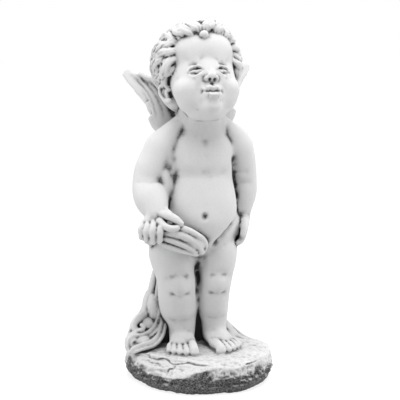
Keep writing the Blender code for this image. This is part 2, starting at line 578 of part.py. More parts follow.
def add_rock(shape):
    """The slab under the feet: its split upper side and its broken wall."""
    half = Vector((BASE_WIDTH / 2, BASE_DEPTH / 2))
    sides = 220
    angles = np.linspace(0, 2 * math.pi, sides, endpoint=False)
    rings = []
    for height, spread in ((-0.2, 0.86), (0.0, 0.88), (0.14, 0.93), (0.27, 0.97), (0.38, 0.985), (0.46, 0.99)):
        ring = []
        for angle in angles:
            at = Vector((math.cos(angle), math.sin(angle), 1.3 * height))
            chip = abs(noise.noise(at * 3.1)) * 1.6 + 0.6 * abs(noise.noise(at * 8)) - 0.3
            reach = rock_reach(angle) * (spread - 0.05 * chip * (0.3 + height))
            ring.append((half.x * reach * math.cos(angle), half.y * reach * math.sin(angle),
                         BASE_HEIGHT * height))
        rings.append(ring)
    # the broken rim is narrow where the slab ends sharply and wide where it has worn off
    for step in np.linspace(0, 1, 7):
        ring = []
        for angle in angles:
            spot = Vector((2.2 * math.cos(angle), 2.2 * math.sin(angle), 5.0))
            worn = 0.05 + 0.07 * max(0.0, noise.noise(spot) + 0.35)
            share = 0.985 - worn * step
            reach = rock_reach(angle) * share
            x, y = half.x * reach * math.cos(angle), half.y * reach * math.sin(angle)
            top = rock_top(x, y, share)
            low = 0.54 * BASE_HEIGHT
            ring.append((x, y, low + (top - low) * math.sin(0.5 * math.pi * step) ** 0.8))
        rings.append(ring)
    for share in np.linspace(0.86, 0.02, 44):
        ring = []
        for angle in angles:
            reach = rock_reach(angle) * share
            x, y = half.x * reach * math.cos(angle), half.y * reach * math.sin(angle)
            ring.append((x, y, rock_top(x, y, share)))
        rings.append(ring)
    skin_rings(shape, rings)


def body_creases():
    """Creases and dimples of the flesh, each a path, its half width and its depth."""
    return (
        ([(-21.6, -1, 51.4), (-18.5, -4.5, 51.5), (-13.6, -4, 52.2)], 0.7, 0.4),
        ([(9.8, -1.4, 50.6), (12.6, -1.9, 50.8), (14.6, -1, 51)], 0.8, 0.4),
        ([(9.4, -1.0, 54.2), (12.2, -2.0, 54.4), (13.4, -1.8, 54.2)], 0.8, 0.3),
        ([(9.8, -0.8, 41.6), (12.4, -1.8, 41.2), (15.2, 0.4, 40.6)], 0.7, 0.6),
        ([(-19.6, -9.4, 43.0), (-16.5, -11, 43.6), (-13.6, -10, 45)], 0.8, 0.35),
        ([(9.4, -3.0, 41.6), (5.6, -6.8, 37.6), (2.6, -7.6, 34.6), (0.4, -7, 31.6)], 1.0, 1.0),
        ([(-10.2, -3.4, 61), (-10.6, -3.4, 58.6), (-11.8, -3, 55), (-12.8, -2, 51.6)], 0.8, 0.55),
        ([(8.6, -3.2, 60.6), (8.9, -3.2, 58), (9.4, -2, 53.4), (9.6, -1, 48), (9.8, -0.6, 42.6)], 0.9, 0.7),
        ([(-9.6, -4, 58.2), (-6.6, -6, 54.9), (-3.0, -6.6, 54.8)], 2.2, 0.25),
        ([(7.8, -4, 58.2), (4.8, -6, 54.9), (1.4, -6.6, 54.8)], 2.2, 0.25),
        ([(-0.8, -6, 62.4), (-0.9, -6.6, 57.6), (-1.1, -7, 53.6)], 1.6, 0.2),
        ([(-2.4, -5, 63.6), (-6.0, -5, 64.6), (-10.0, -3, 64.8)], 1.4, -0.2),
        ([(0.8, -5, 63.6), (4.2, -5, 64.6), (8.0, -3, 64.8)], 1.4, -0.2),
        ([(-9.4, -7.6, 21.6), (-9.2, -7.6, 20.2)], 2.2, -0.55),
        ([(3.0, -6.8, 21.4), (3.0, -6.8, 20.0)], 2.0, -0.55),
        ([(-12.9, -5, 18.4), (-9.2, -6.8, 17.6), (-5.4, -5.6, 18.4)], 1.2, 0.6),
        ([(0.2, -4.6, 17.6), (3.0, -5.8, 17.0), (6.2, -4.6, 17.8)], 1.2, 0.6),
        ([(-12.6, -5.6, 23.4), (-9.4, -7.2, 24.2), (-6.4, -6.2, 23.4)], 1.3, 0.4),
        ([(0.4, -5.4, 23.2), (3.0, -6.4, 24.0), (5.8, -5.4, 23.2)], 1.3, 0.4),
        ([(-12.8, -2, 9.6), (-8.2, -4.8, 8.6), (-3.6, -2.4, 9.6)], 0.9, 0.55),
        ([(-1.2, -1.6, 9.8), (3.2, -4.2, 8.6), (7.2, -1.4, 9.6)], 0.9, 0.55),
        ([(-10.6, -3, 5.8), (-7.6, -4.4, 5.4), (-4.6, -3, 5.8)], 1.0, 0.3),
        ([(0.4, -3, 5.8), (3.4, -4.4, 5.4), (6.4, -3, 5.8)], 1.0, 0.3),
        ([(-5.4, -5.4, 70.8), (-0.6, -7.6, 70.0), (4.4, -5.4, 70.8)], 1.1, 0.5),
        ([(-2.2, -10.2, 42.7), (-2.2, -10.2, 42.3)], 0.85, 1.1),
        ([(-0.9, -5.4, 64.4), (-0.9, -5.4, 63.8)], 0.9, 0.45),
    )


def head_creases():
    """Hollows of the eyes, in the head's frame: path, half width and depth."""
    lines = []
    for side in (-1, 1):
        lines += [
            ([(side * 2.8, -10, -2.3), (side * 4.0, -10, -2.2), (side * 5.8, -9, -2.7)], 1.7, 1.15),
            ([(side * 1.8, -10, 0.0), (side * 3.8, -10, 0.7), (side * 6.0, -9, 0.1)], 1.4, -0.3),
        ]
    return lines


def arc(side, low, high):
    """A path over an eyeball from corner to corner, with its middle at the height high."""
    points = []
    for t in (-1, -0.5, 0, 0.5, 1):
        z = low + (high - low) * (1 - t * t) - 0.12 * t
        points.append((side * (EYE_CENTRE.x + EYE_CORNER * t), EYE_FRONT + 0.6 * t * t, z))
    return points


def face_lines():
    """A calm, plain child's face on even proportions: paths, half widths and depths, below 0 raised."""
    lines = [
        ([(-2.6, -10.0, -8.7), (-1.3, -10.9, -8.95), (0, -11.3, -9.15), (1.3, -10.9, -8.95),
          (2.6, -10.0, -8.7)], 0.3, 0.55),
        ([(-2.1, -10.4, -8.35), (-0.8, -11.1, -7.95), (0, -11.3, -8.2), (0.8, -11.1, -7.95),
          (2.1, -10.4, -8.35)], 0.55, -0.6),
        ([(-1.6, -10.6, -9.75), (0, -11.2, -10.1), (1.6, -10.6, -9.75)], 0.7, -0.75),
        ([(-1.4, -10.2, -11.2), (0, -10.4, -11.35), (1.4, -10.2, -11.2)], 0.9, 0.2),
        ([(0, -11.2, -6.7), (0, -11.2, -7.4)], 0.45, 0.14),
    ]
    for side in (-1, 1):
        lines += [
            (arc(side, -2.4, -1.1), 0.32, 0.2),
            (arc(side, -2.8, -1.8), 0.4, -0.3),
            (arc(side, -3.0, -2.25), 0.28, 0.55),
            (arc(side, -3.1, -3.5), 0.26, 0.35),
            (arc(side, -3.3, -4.1), 0.45, -0.2),
            ([(side * 0.7, -11.2, -6.0), (side * 0.78, -11.0, -6.0)], 0.36, 0.45),
            ([(side * 1.6, -10.6, -4.5), (side * 2.1, -10.1, -5.2), (side * 1.9, -10.1, -5.9)], 0.4, 0.12),
            ([(side * 2.9, -9.8, -8.5), (side * 3.0, -9.7, -9.0)], 0.5, 0.2),
        ]
    return lines


def placed(lines, place):
    """Paths with their half widths and depths, moved and scaled by place."""
    scale = place.median_scale
    return [([place @ Vector(at) for at in path], wide * scale, deep * scale) for path, wide, deep in lines]


def near_path(points, path, wide):
    """1 on a path that is laid on the points, falling to 0 away from it and at its ends."""
    line = curve_through(path, 5)
    room = 3 * wide + 0.03 * (points.max(axis=0) - points.min(axis=0)).max()
    around = points[((points > line.min(axis=0) - room) & (points < line.max(axis=0) + room)).all(axis=1)]
    line = np.array([around[np.argmin(((around - at) ** 2).sum(axis=1))] for at in line])
    close = np.flatnonzero(
        ((points > line.min(axis=0) - 3 * wide) & (points < line.max(axis=0) + 3 * wide)).all(axis=1)
    )
    gaps = np.full(len(close), np.inf)
    shares = np.zeros(len(close))
    for k, (a, b) in enumerate(zip(line, line[1:])):
        along = b - a
        t = np.clip((points[close] - a) @ along / max(along @ along, 1e-9), 0, 1)
        gap = np.linalg.norm(points[close] - a - t[:, None] * along, axis=1)
        shares = np.where(gap < gaps, (k + t) / (len(line) - 1), shares)
        gaps = np.minimum(gap, gaps)
    taper = np.clip(np.minimum(shares, 1 - shares) * 5, 0.25, 1) if len(path) > 2 else 1
    made = np.zeros(len(points))
    made[close] = np.exp(-((gaps / wide) ** 2)) * taper
    return made


def press(mesh, creases):
    """Sinks the creases into the mesh along its normals."""
    points = np.empty(len(mesh.vertices) * 3)
    normals = np.empty(len(mesh.vertices) * 3)
    mesh.vertices.foreach_get("co", points)
    mesh.vertices.foreach_get("normal", normals)
    points, normals = points.reshape(-1, 3), normals.reshape(-1, 3)
    sunk = sum(deep * near_path(points, path, wide) for path, wide, deep in creases)
    mesh.vertices.foreach_set("co", (points - normals * sunk[:, None]).ravel())
    mesh.update()


def fuse(name, shape, voxel, rounds):
    """One closed skin round everything in shape, softened by the given rounds."""
    mesh = bpy.data.meshes.new(name)
    shape.to_mesh(mesh)
    shape.free()
    worked = bpy.data.objects.new(name, mesh)
    bpy.context.scene.collection.objects.link(worked)
    skin = worked.modifiers.new("skin", "REMESH")
    skin.mode = "VOXEL"
    skin.voxel_size = voxel
    soften = worked.modifiers.new("soften", "SMOOTH")
    soften.iterations = round(rounds)
    bpy.context.view_layer.update()
    graph = bpy.context.evaluated_depsgraph_get()
    fused = bpy.data.meshes.new_from_object(worked.evaluated_get(graph))
    bpy.data.objects.remove(worked)
    bpy.data.meshes.remove(mesh)
    return fused


def figure_place():
    """From percent of the figure's height to metres on the rock."""
    stand = Matrix.Translation((STAND_RIGHT, STAND_BACK, BASE_HEIGHT - SOLE_SINK))
    return stand @ Matrix.Scale(FIGURE_HEIGHT / 100, 4)


def sculpt_flesh():
    """The body and head as one soft skin with its creases."""
    soft = bmesh.new()
    add_torso(soft)
    add_shoulders(soft)
    add_right_arm(soft)
    add_left_arm(soft)
    add_legs(soft)
    add_foot(soft, RIGHT_ANKLE, RIGHT_FOOT_TURNS, 1)
    add_foot(soft, LEFT_ANKLE, LEFT_FOOT_TURNS, -1)
    add_head(soft)
    flesh = fuse("flesh", soft, 100 * VOXEL / FIGURE_HEIGHT, SOFT_ROUNDS)
    press(flesh, (*body_creases(), *placed(head_creases(), head_place())))
    evened = bmesh.new()
    evened.from_mesh(flesh)
    for _ in range(round(CREASE_ROUNDS)):
        bmesh.ops.smooth_vert(
            evened, verts=evened.verts, factor=0.5, use_axis_x=True, use_axis_y=True, use_axis_z=True
        )
    return evened


def sculpt_cherub():
    """The whole casting as one dense mesh in metres."""
    crisp = sculpt_flesh()
    add_right_fingers(crisp)
    add_left_fingers(crisp)
    add_toes(crisp, RIGHT_ANKLE, RIGHT_FOOT_TURNS, 1)
    add_toes(crisp, LEFT_ANKLE, LEFT_FOOT_TURNS, -1)
    add_face(crisp)
    add_hair(crisp)
    add_wings(crisp)
    add_swag(crisp)
    add_curtain(crisp)
    add_heap(crisp)
    crisp.transform(figure_place())
    add_rock(crisp)
    cherub = fuse("cherub", crisp, VOXEL, CRISP_ROUNDS)
    press(cherub, placed(face_lines(), figure_place() @ head_place()))
    return cherub


def thin_out(mesh, triangles):
    """The same form with fewer triangles, kept where it curves most."""
    worked = bpy.data.objects.new("dense", mesh)
    bpy.context.scene.collection.objects.link(worked)
    thin = worked.modifiers.new("thin", "DECIMATE")
    thin.ratio = triangles / (2 * len(mesh.polygons))
    bpy.context.view_layer.update()
    graph = bpy.context.evaluated_depsgraph_get()
    thinned = bpy.data.meshes.new_from_object(worked.evaluated_get(graph))
    bpy.data.objects.remove(worked)
    return thinned


def cut_underside(mesh):
    """Cuts the rock off flat at the ground and closes it."""
    shape = bmesh.new()
    shape.from_mesh(mesh)
    everything = shape.verts[:] + shape.edges[:] + shape.faces[:]
    cut = bmesh.ops.bisect_plane(
        shape, geom=everything, plane_co=(0, 0, 0), plane_no=(0, 0, 1), clear_inner=True,
    )
    rim = [edge for edge in cut["geom_cut"] if isinstance(edge, bmesh.types.BMEdge)]
    bmesh.ops.contextual_create(shape, geom=rim)
    bmesh.ops.triangulate(shape, faces=shape.faces)
    shape.to_mesh(mesh)
    shape.free()


def stone():
    material = bpy.data.materials.new("cast_stone")
    material.use_nodes = True
    shader = material.node_tree.nodes["Principled BSDF"]
    shader.inputs["Base Color"].default_value = STONE_COLOUR
    shader.inputs["Roughness"].default_value = STONE_ROUGHNESS
    shader.inputs["Metallic"].default_value = 0
    return material


def main():
    for old in list(bpy.data.objects):
        bpy.data.objects.remove(old)
    mesh = thin_out(sculpt_cherub(), SOLID_TRIANGLES)
    cut_underside(mesh)
    mesh.shade_smooth()
    mesh.materials.append(stone())
    figurine = bpy.data.objects.new("cherub_figurine", mesh)
    collection = bpy.data.collections.new("angel_figurine")
    bpy.context.scene.collection.children.link(collection)
    collection.objects.link(figurine)


main()
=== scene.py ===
import math
import random

import bmesh
import bpy
import numpy as np
from mathutils import Matrix, Vector, noise
from mathutils.bvhtree import BVHTree
from mathutils.kdtree import KDTree


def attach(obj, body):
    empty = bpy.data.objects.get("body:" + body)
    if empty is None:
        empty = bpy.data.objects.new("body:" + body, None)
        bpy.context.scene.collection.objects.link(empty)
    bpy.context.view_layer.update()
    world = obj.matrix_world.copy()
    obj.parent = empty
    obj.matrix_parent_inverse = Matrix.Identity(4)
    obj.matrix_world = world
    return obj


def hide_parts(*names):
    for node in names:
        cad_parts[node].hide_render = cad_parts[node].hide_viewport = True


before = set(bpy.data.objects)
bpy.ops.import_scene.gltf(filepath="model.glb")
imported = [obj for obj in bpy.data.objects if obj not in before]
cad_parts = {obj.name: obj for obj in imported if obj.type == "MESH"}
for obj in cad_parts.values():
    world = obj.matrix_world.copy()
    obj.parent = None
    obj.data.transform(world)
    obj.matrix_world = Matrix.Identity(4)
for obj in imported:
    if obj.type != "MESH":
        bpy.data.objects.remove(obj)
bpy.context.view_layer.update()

facingFront = (0, -1, 0)
facingUp = (0, 0, 1)

# metres for the rock and the whole, percent of the figure's height within the figure
figure = {"height": 0.46, "soleSink": 0.0010, "standRight": 0.010, "standBack": 0.014}
rock = {"width": 0.212, "depth": 0.188, "height": 0.0426}
casting = {
    "voxel": 0.0011, "softRounds": 70, "headRounds": 50, "creaseRounds": 10, "crispRounds": 3,
    "triangles": 196000,
}
headPose = {"centre": (-1.3, 1.7, 84.5), "size": 1.11, "looksUp": 22, "turns": 3}
skull = {"centre": Vector((0, 1.8, 3.2)), "radii": Vector((10.6, 12.0, 9.6))}
eye = {"centre": Vector((3.8, -6.8, -2.6)), "radius": 2.6, "corner": 2.35, "front": -9.6}
# each foot's ankle, its turn in degrees and the side of its big toe
feet = {"right": ((-7.4, 0.6, 0), -8, 1), "left": ((3.0, 0.6, 0), 13, -1)}


# rows of numbers that pass smoothly through the given rows
def curveThrough(stations, steps):
    rows = np.array(stations, float)
    padded = np.vstack([2 * rows[0] - rows[1], rows, 2 * rows[-1] - rows[-2]])
    made = []
    for a, b, c, d in zip(padded, padded[1:], padded[2:], padded[3:]):
        for t in np.linspace(0, 1, steps, endpoint=False):
            made.append(
                0.5 * (2 * b + (c - a) * t + (2 * a - 5 * b + 4 * c - d) * t**2
                       + (3 * b - a - 3 * c + d) * t**3)
            )
    made.append(rows[-1])
    return np.array(made)


# closes a row of equally long rings of points into one tube with flat ends
def skinRings(shape, rings):
    loops = [[shape.verts.new(point) for point in ring] for ring in rings]
    for low, high in zip(loops, loops[1:]):
        for k in range(len(low)):
            shape.faces.new((low[k], low[k - 1], high[k - 1], high[k]))
    shape.faces.new(loops[0])
    shape.faces.new(reversed(loops[-1]))


# a closed tube through stations of (x, y, z, half width, half thickness) with round ends.
# The thickness lies along facing, or away from a point. Ridges run along the tube, and with
# drift they are uneven and wander
def sweep(shape, stations, facing=facingFront, away=None, steps=4, sides=12,
          ridges=0, groove=0.0, drift=0.0):
    rows = curveThrough(stations, steps)
    sections = []
    for row, way in zip(rows, np.gradient(rows[:, :3], axis=0)):
        centre, along = Vector(row[:3]), Vector(way).normalized()
        out = Vector(facing) if away is None else centre - Vector(away)
        side = along.cross(out).normalized()
        sections.append((centre, along, side, side.cross(along), row[3], row[4]))
    closing = (0.35, 0.7, 0.93)  # steps from a flat to a round end

    def rounded(section, reach):
        centre, along, side, out, wide, thick = section
        shrink = math.sqrt(1 - reach**2)
        centre = centre + along * (reach * min(wide, thick))
        return (centre, along, side, out, wide * shrink, thick * shrink)

    sections = (
        [rounded(sections[0], -reach) for reach in reversed(closing)]
        + sections
        + [rounded(sections[-1], reach) for reach in closing]
    )
    turn = np.linspace(0, 2 * math.pi, sides, endpoint=False)
    phase = ridges * math.pi * np.cos(turn)
    fold = np.cos(phase)
    rings = []
    for k, (centre, _, side, out, wide, thick) in enumerate(sections):
        if drift:
            t = drift * k / len(sections)
            sharp = 1.4 * np.abs(np.cos(0.5 * phase + t))
            fold = sharp + 0.6 * np.cos(0.43 * phase - 1.7 * t + 1) - 0.7
        rings.append([
            centre + side * (wide * u) + out * (thick * v)
            for u, v in zip(np.cos(turn), np.sin(turn) * (1 + groove * fold))
        ])
    skinRings(shape, rings)


# an ellipsoid, turned by degrees about X, Y and Z
def ball(shape, centre, radii, turn=(0, 0, 0), segments=20):
    place = Matrix.Translation(centre)
    for angle, axis in zip(turn, "XYZ"):
        place = place @ Matrix.Rotation(math.radians(angle), 4, axis)
    bmesh.ops.create_uvsphere(
        shape, u_segments=segments, v_segments=segments * 2 // 3, radius=1,
        matrix=place @ Matrix.Diagonal((*radii, 1)),
    )


# a round tube through rows of (x, y, z, radius)
def limb(shape, rows, sides=16):
    sweep(shape, [(x, y, z, r, r) for x, y, z, r in rows], sides=sides)


# moves made by place and adds it to shape
def placeInto(shape, made, place):
    made.transform(place)
    mesh = bpy.data.meshes.new("placed")
    made.to_mesh(mesh)
    made.free()
    shape.from_mesh(mesh)
    bpy.data.meshes.remove(mesh)


def addTorso(shape):
    sweep(shape, [
        (-3.2, 1.8, 29.5, 10, 6.4), (-2.9, 1.2, 33, 12.4, 8), (-2.2, 0.1, 37, 12, 8.9),
        (-1.8, -1.2, 41, 11.6, 8.8), (-1.4, -1.4, 45, 11.1, 8.2), (-1.2, -0.8, 49, 10.5, 7.4),
        (-1, 0.1, 53, 10, 7), (-0.9, 0.6, 57, 10.5, 7.4), (-0.8, 1.1, 61, 10.9, 7.2),
        (-0.7, 1.6, 64.5, 9.8, 6.6), (-0.5, 1.5, 68, 7.9, 6.6), (-0.7, 1.1, 72, 7.3, 7),
        (-1, 1.4, 77, 6.9, 7),
    ], sides=28)
    ball(shape, (-2.0, -3.6, 41), (9.0, 7.0, 8.0))
    ball(shape, (-12.6, -0.4, 50.8), (3.0, 4.4, 7.6))
    ball(shape, (8.4, 0.6, 38), (3.0, 4.6, 5.6))
    for side in (-1, 1):
        ball(shape, (-3.2 + side * 5.0, 6.2, 32.6), (5.7, 5.4, 5.8))
        ball(shape, (-0.9 + side * 5.6, 5.6, 60), (4.6, 3.4, 6.0))
    limb(shape, [(-3.2, 2.2, 70.8, 3.8), (-8.4, 2.0, 67.0, 3.9), (-13.2, 1.3, 62.6, 4.9)])
    limb(shape, [(2.0, 2.2, 70.8, 3.8), (6.0, 2.2, 67.6, 3.7), (10.6, 1.6, 63.0, 4.7)])
    ball(shape, (-10.9, -0.4, 57.2), (2.8, 3.3, 6.2))


def addRightArm(shape):
    limb(shape, [
        (-13.4, 1.2, 62.2, 5), (-14.7, 1.2, 59, 5.1), (-16.4, 0.9, 55.4, 5.2),
        (-17.4, 0.4, 52.2, 4.9), (-17.6, -1.2, 49.4, 5.1), (-17.2, -3.8, 46.8, 5.1),
        (-16.7, -6.2, 44.6, 4.2), (-16.6, -7.8, 43, 3.3),
    ], sides=20)
    ball(shape, (-17.2, -8.8, 41.0), (4.0, 2.2, 3.0), turn=(-14, 6, 0))
    limb(shape, [(-16.0, -8.0, 43.0, 2.3), (-14.2, -9.2, 43.6, 1.9), (-12.8, -10.4, 43.0, 1.4)])


def addRightFingers(shape):
    for knuckle, middle, end, thick in (
        ((-16, -10.4, 41), (-16.4, -12.5, 38.8), (-16.5, -12.2, 36), 1),
        ((-17.9, -10.2, 41.2), (-18.6, -12.1, 38.8), (-18.4, -11.8, 35.6), 1.02),
        ((-19.4, -9.5, 41), (-20.3, -11.3, 38.9), (-20.1, -11.1, 35.9), 0.95),
        ((-20.6, -8.5, 40.8), (-21.7, -9.9, 39.2), (-21.6, -10, 36.8), 0.85),
    ):
        bend = Vector(middle).lerp(Vector(knuckle), 0.45) + Vector((0, -0.5, 0.2))
        limb(shape, [
            (*knuckle, thick * 1.15), (*bend, thick), (*middle, thick * 1.08),
            (*Vector(middle).lerp(Vector(end), 0.6), thick * 0.92), (*end, thick * 0.9),
        ], sides=10)
    limb(shape, [
        (-15.6, -9.4, 43.6, 1.6), (-13.2, -11, 43, 1.4), (-11.6, -12, 42.2, 1.25),
        (-10.2, -12.5, 41.1, 1),
    ], sides=10)
    limb(shape, [
        (-16.2, -10.8, 41.6, 1.2), (-15, -12.4, 40.4, 1.1), (-13.2, -13.2, 39.8, 1),
        (-11.4, -13, 39.9, 0.9),
    ], sides=10)


def addLeftArm(shape):
    limb(shape, [
        (10.8, 1.5, 62.2, 4.8), (11.7, 1.9, 58.8, 4.7), (12.4, 2.4, 54.6, 4.6),
        (12.9, 2.7, 51, 4.4), (12.9, 2.5, 48, 4.4), (12.5, 2.1, 45, 4),
        (12.2, 1.6, 42, 3.2), (12.3, 1.2, 40.2, 2.8),
    ], sides=20)
    sweep(shape, [
        (12.4, 1, 39.6, 2.3, 2.8), (12.2, 0.5, 37.8, 2.1, 3.4), (11.8, 0.2, 36.2, 1.9, 3.3),
    ])


def addLeftFingers(shape):
    for y, reach in ((-2.6, 4.6), (-0.9, 5.2), (0.8, 4.9), (2.4, 4.0)):
        limb(shape, [
            (12.1, y * 0.9, 36.8, 1.1), (11.6, y, 36.8 - reach * 0.45, 1.08),
            (10.9, y - 0.2, 36.8 - reach * 0.78, 0.98), (10.0, y - 0.4, 36.8 - reach * 0.92, 0.9),
        ], sides=10)
    limb(shape, [(12.1, -1.8, 38.8, 1.4), (11.7, -3.7, 37.2, 1.25), (11.1, -4.5, 35.4, 1.05)], sides=10)


def addLegs(shape):
    sweep(shape, [
        (-9.4, 1.2, 34, 6.4, 7), (-10.1, 0.6, 30.5, 7.4, 7.9), (-9.9, -0.2, 27, 7, 7.6),
        (-9.4, -0.8, 23.5, 6.3, 6.8), (-9, -1.2, 20.5, 6.2, 6.4), (-8.8, -0.8, 17.5, 6.2, 6),
        (-8.4, 0.2, 14.5, 6.2, 6.1), (-8, 1, 11.5, 5.9, 6.1), (-7.5, 1.1, 9, 5.2, 5.3),
        (-7.2, 1, 6.6, 4.5, 4.6), (-7.2, 1, 3.6, 4.2, 4.8),
    ], sides=20)
    sweep(shape, [
        (3.2, 1.2, 34, 6, 6.8), (3.7, 0.7, 30.5, 6.6, 7.6), (3.6, 0.2, 27, 6.4, 7.2),
        (3.2, -0.2, 23.5, 5.9, 6.4), (2.9, -0.5, 20.5, 5.5, 6.1), (2.6, -0.1, 17.5, 5.4, 5.7),
        (2.6, 0.8, 14.5, 5.3, 5.8), (2.8, 1.4, 11.5, 5.1, 5.7), (3, 1.3, 9, 4.7, 5),
        (3.1, 1.1, 6.6, 4.2, 4.3), (3.2, 1, 3.6, 4, 4.6),
    ], sides=20)


# a place at a point, turned by degrees about Z
def placeAt(point, turns):
    return Matrix.Translation(point) @ Matrix.Rotation(math.radians(turns), 4, "Z")


# the block of a foot, heel at the back and toes along -Y. Inner is 1 if the big toe is at +X
def addFoot(shape, ankle, turns, inner):
    foot = bmesh.new()
    sweep(foot, [
        (0, 3.4, 2.2, 3.0, 2.3), (0, 0.4, 3.0, 3.7, 3.2), (inner * 0.1, -3.4, 2.7, 4.1, 2.8),
        (inner * 0.2, -6.6, 1.8, 4.4, 1.9),
    ], facing=facingUp, sides=16)
    ball(foot, (0, -1.6, 3.6), (3.3, 5.0, 3.0))
    placeInto(shape, foot, placeAt(ankle, turns))


def addToes(shape, ankle, turns, inner):
    foot = bmesh.new()
    for across, reach, thick in (
        (3.1, 13, 1.6), (0.85, 12.9, 1.08), (-1.05, 12.3, 1), (-2.8, 11.3, 0.95), (-4.3, 10.1, 0.88),
    ):
        x = across * inner
        limb(foot, [
            (x * 0.84, -5.8, 1.9, thick * 1.1), (x * 0.95, -reach * 0.7, 2.0, thick * 0.95),
            (x, -reach * 0.86, 1.7, thick * 0.9), (x, -reach + thick, 1.25, thick * 1.08),
        ], sides=12)
    placeInto(shape, foot, placeAt(ankle, turns))


def headPlace():
    tilt = Matrix.Rotation(math.radians(-headPose["looksUp"]), 4, "X")
    return placeAt(headPose["centre"], headPose["turns"]) @ tilt @ Matrix.Scale(headPose["size"], 4)


# the voxel size in percent of the figure's height
def figureVoxel():
    return 100 * casting["voxel"] / figure["height"]


# skull, forehead, chin, jaw and cheeks, softened into one form
def sculptHead():
    head = bmesh.new()
    ball(head, skull["centre"], skull["radii"], segments=32)
    ball(head, (0, -2.2, -3.4), (9.0, 8.6, 8.7), segments=28)
    ball(head, (0, -4.8, 4.4), (8.4, 6.0, 6.6), segments=24)
    ball(head, (0, -6.4, -8.4), (4.4, 4.6, 4.2))
    ball(head, (0, -7.3, -12.1), (3.1, 3.0, 2.5))
    ball(head, (0, -4.0, -10.6), (6.3, 5.2, 3.8))
    ball(head, (0, -3.2, -12.4), (5.6, 5.2, 2.6))
    for side in (-1, 1):
        ball(head, (side * 5.1, -4.7, -6.7), (4.2, 4.6, 4.1))
        ball(head, (side * 4.3, -4.2, -9.2), (4.0, 4.4, 3.5))
    return fuse("head", head, figureVoxel() / headPose["size"], casting["headRounds"])


# the smooth head with the beginnings of nose and mouth, set on the neck
def addHead(shape):
    head = bmesh.new()
    head.from_mesh(sculptHead())
    ball(head, (0, -9.2, -8.9), (2.8, 1.9, 2.1))
    limb(head, [(0, -8.8, -1.4, 0.9), (0, -9.8, -3.1, 1.0), (0, -10.8, -4.6, 1.3)], sides=12)
    placeInto(shape, head, headPlace())


# the rim, the inner fold and the lobe
def addEar(face, side):
    ear = bmesh.new()
    for sides, rows in (
        (10, ((9.7, -0.6, -1.2, 0.7), (10.6, -0.4, 0.5, 0.8), (11.4, 1, 1.3, 0.85),
              (12, 2.6, 0.5, 0.9), (11.9, 3, -1.6, 0.85), (11.2, 2.2, -3.6, 0.85),
              (10.3, 1, -5, 1.15), (9.6, 0.2, -5, 1))),
        (8, ((10.5, 0.4, -0.4, 0.55), (11, 1.5, -0.8, 0.6), (10.9, 1.8, -2.4, 0.6),
             (10.2, 0.9, -3.6, 0.6))),
    ):
        limb(ear, [(side * x, y, z, thick) for x, y, z, thick in rows], sides=sides)
    ball(ear, (side * 9.9, 1.8, -1.9), (1.0, 2.2, 3.2), turn=(0, 0, side * 22))
    placeInto(face, ear, Matrix.Translation((side * 1.6, 0.5, -3.8)) @ Matrix.Scale(0.76, 4))


# the tip of the nose, the eyeballs and the ears
def addFace(shape):
    face = bmesh.new()
    ball(face, (0, -11.0, -4.9), (1.2, 1.25, 1.1))
    for side in (-1, 1):
        ball(face, (side * 1.2, -10.3, -5.3), (0.85, 1.05, 0.8))
        middle = eye["centre"] * Vector((side, 1, 1))
        ball(face, middle, [eye["radius"]] * 3)
        ball(face, middle + Vector((0, 0, 0.45)), (2.35, 2.4, 1.95))
        addEar(face, side)
    placeInto(shape, face, headPlace())


# the point over the skull in a direction from its middle
def onScalp(direction, lift):
    reach = skull["radii"] + Vector((lift, lift, lift))
    return skull["centre"] + Vector([r * d for r, d in zip(reach, direction)])


# whether hair grows there: low on the nape, above the ears, high over the brow
def inHair(direction):
    down = math.degrees(math.acos(max(-1, min(1, direction.z))))
    front = max(0.0, -direction.y / max(1e-6, math.hypot(direction.x, direction.y)))
    temple = max(0.0, min(1.0, (front - 0.56) / 0.16))
    return down < 114 - 36 * temple - 12 * max(0.0, (front - 0.72) / 0.28)


# even directions over the whole sphere for a span of 2, over its upper half for 1
def evenDirections(count, span):
    made = []
    for k in range(count):
        z = 1 - span * (k + 0.5) / count
        turn = k * math.pi * (3 - math.sqrt(5))
        level = math.sqrt(1 - z * z)
        made.append(Vector((level * math.cos(turn), level * math.sin(turn), z)))
    return made


# even spots over the part of the scalp where hair grows
def scalpSeeds(count):
    return [direction for direction in evenDirections(count, 2) if inHair(direction)]


# directions along a lock that is combed back over the skull in a wave
def combed(direction, length, wave, phase, steps=5):
    made = [direction.copy()]
    for step in range(steps):
        here = made[-1]
        back = Vector((-0.2, 1, 3.4 * max(0.0, -here.y) * max(0.0, here.z) - 0.42))
        flow = (back - here * back.dot(here)).normalized()
        bend = wave * math.sin(phase + 2.4 * math.pi * step / steps)
        flow = flow * math.cos(bend) + here.cross(flow) * math.sin(bend)
        made.append((here + flow * (length / steps)).normalized())
    return made


# one grooved lock: its root lies on the scalp, its end lifts off in a small hook
def lock(hair, direction, length, wide, wave, phase, height):
    lifts = (-0.3, 0.7, 1.0, 1.0, 0.9, 0.5)
    widths = (0.6, 0.95, 1.0, 0.95, 0.75, 0.35)
    stations = [
        (*onScalp(point, height * lift), wide * share, 0.42 * wide * share + 0.3)
        for point, lift, share in zip(combed(direction, length, wave, phase), lifts, widths)
    ]
    sweep(hair, stations, away=skull["centre"], steps=3, sides=20, ridges=3, groove=0.16)


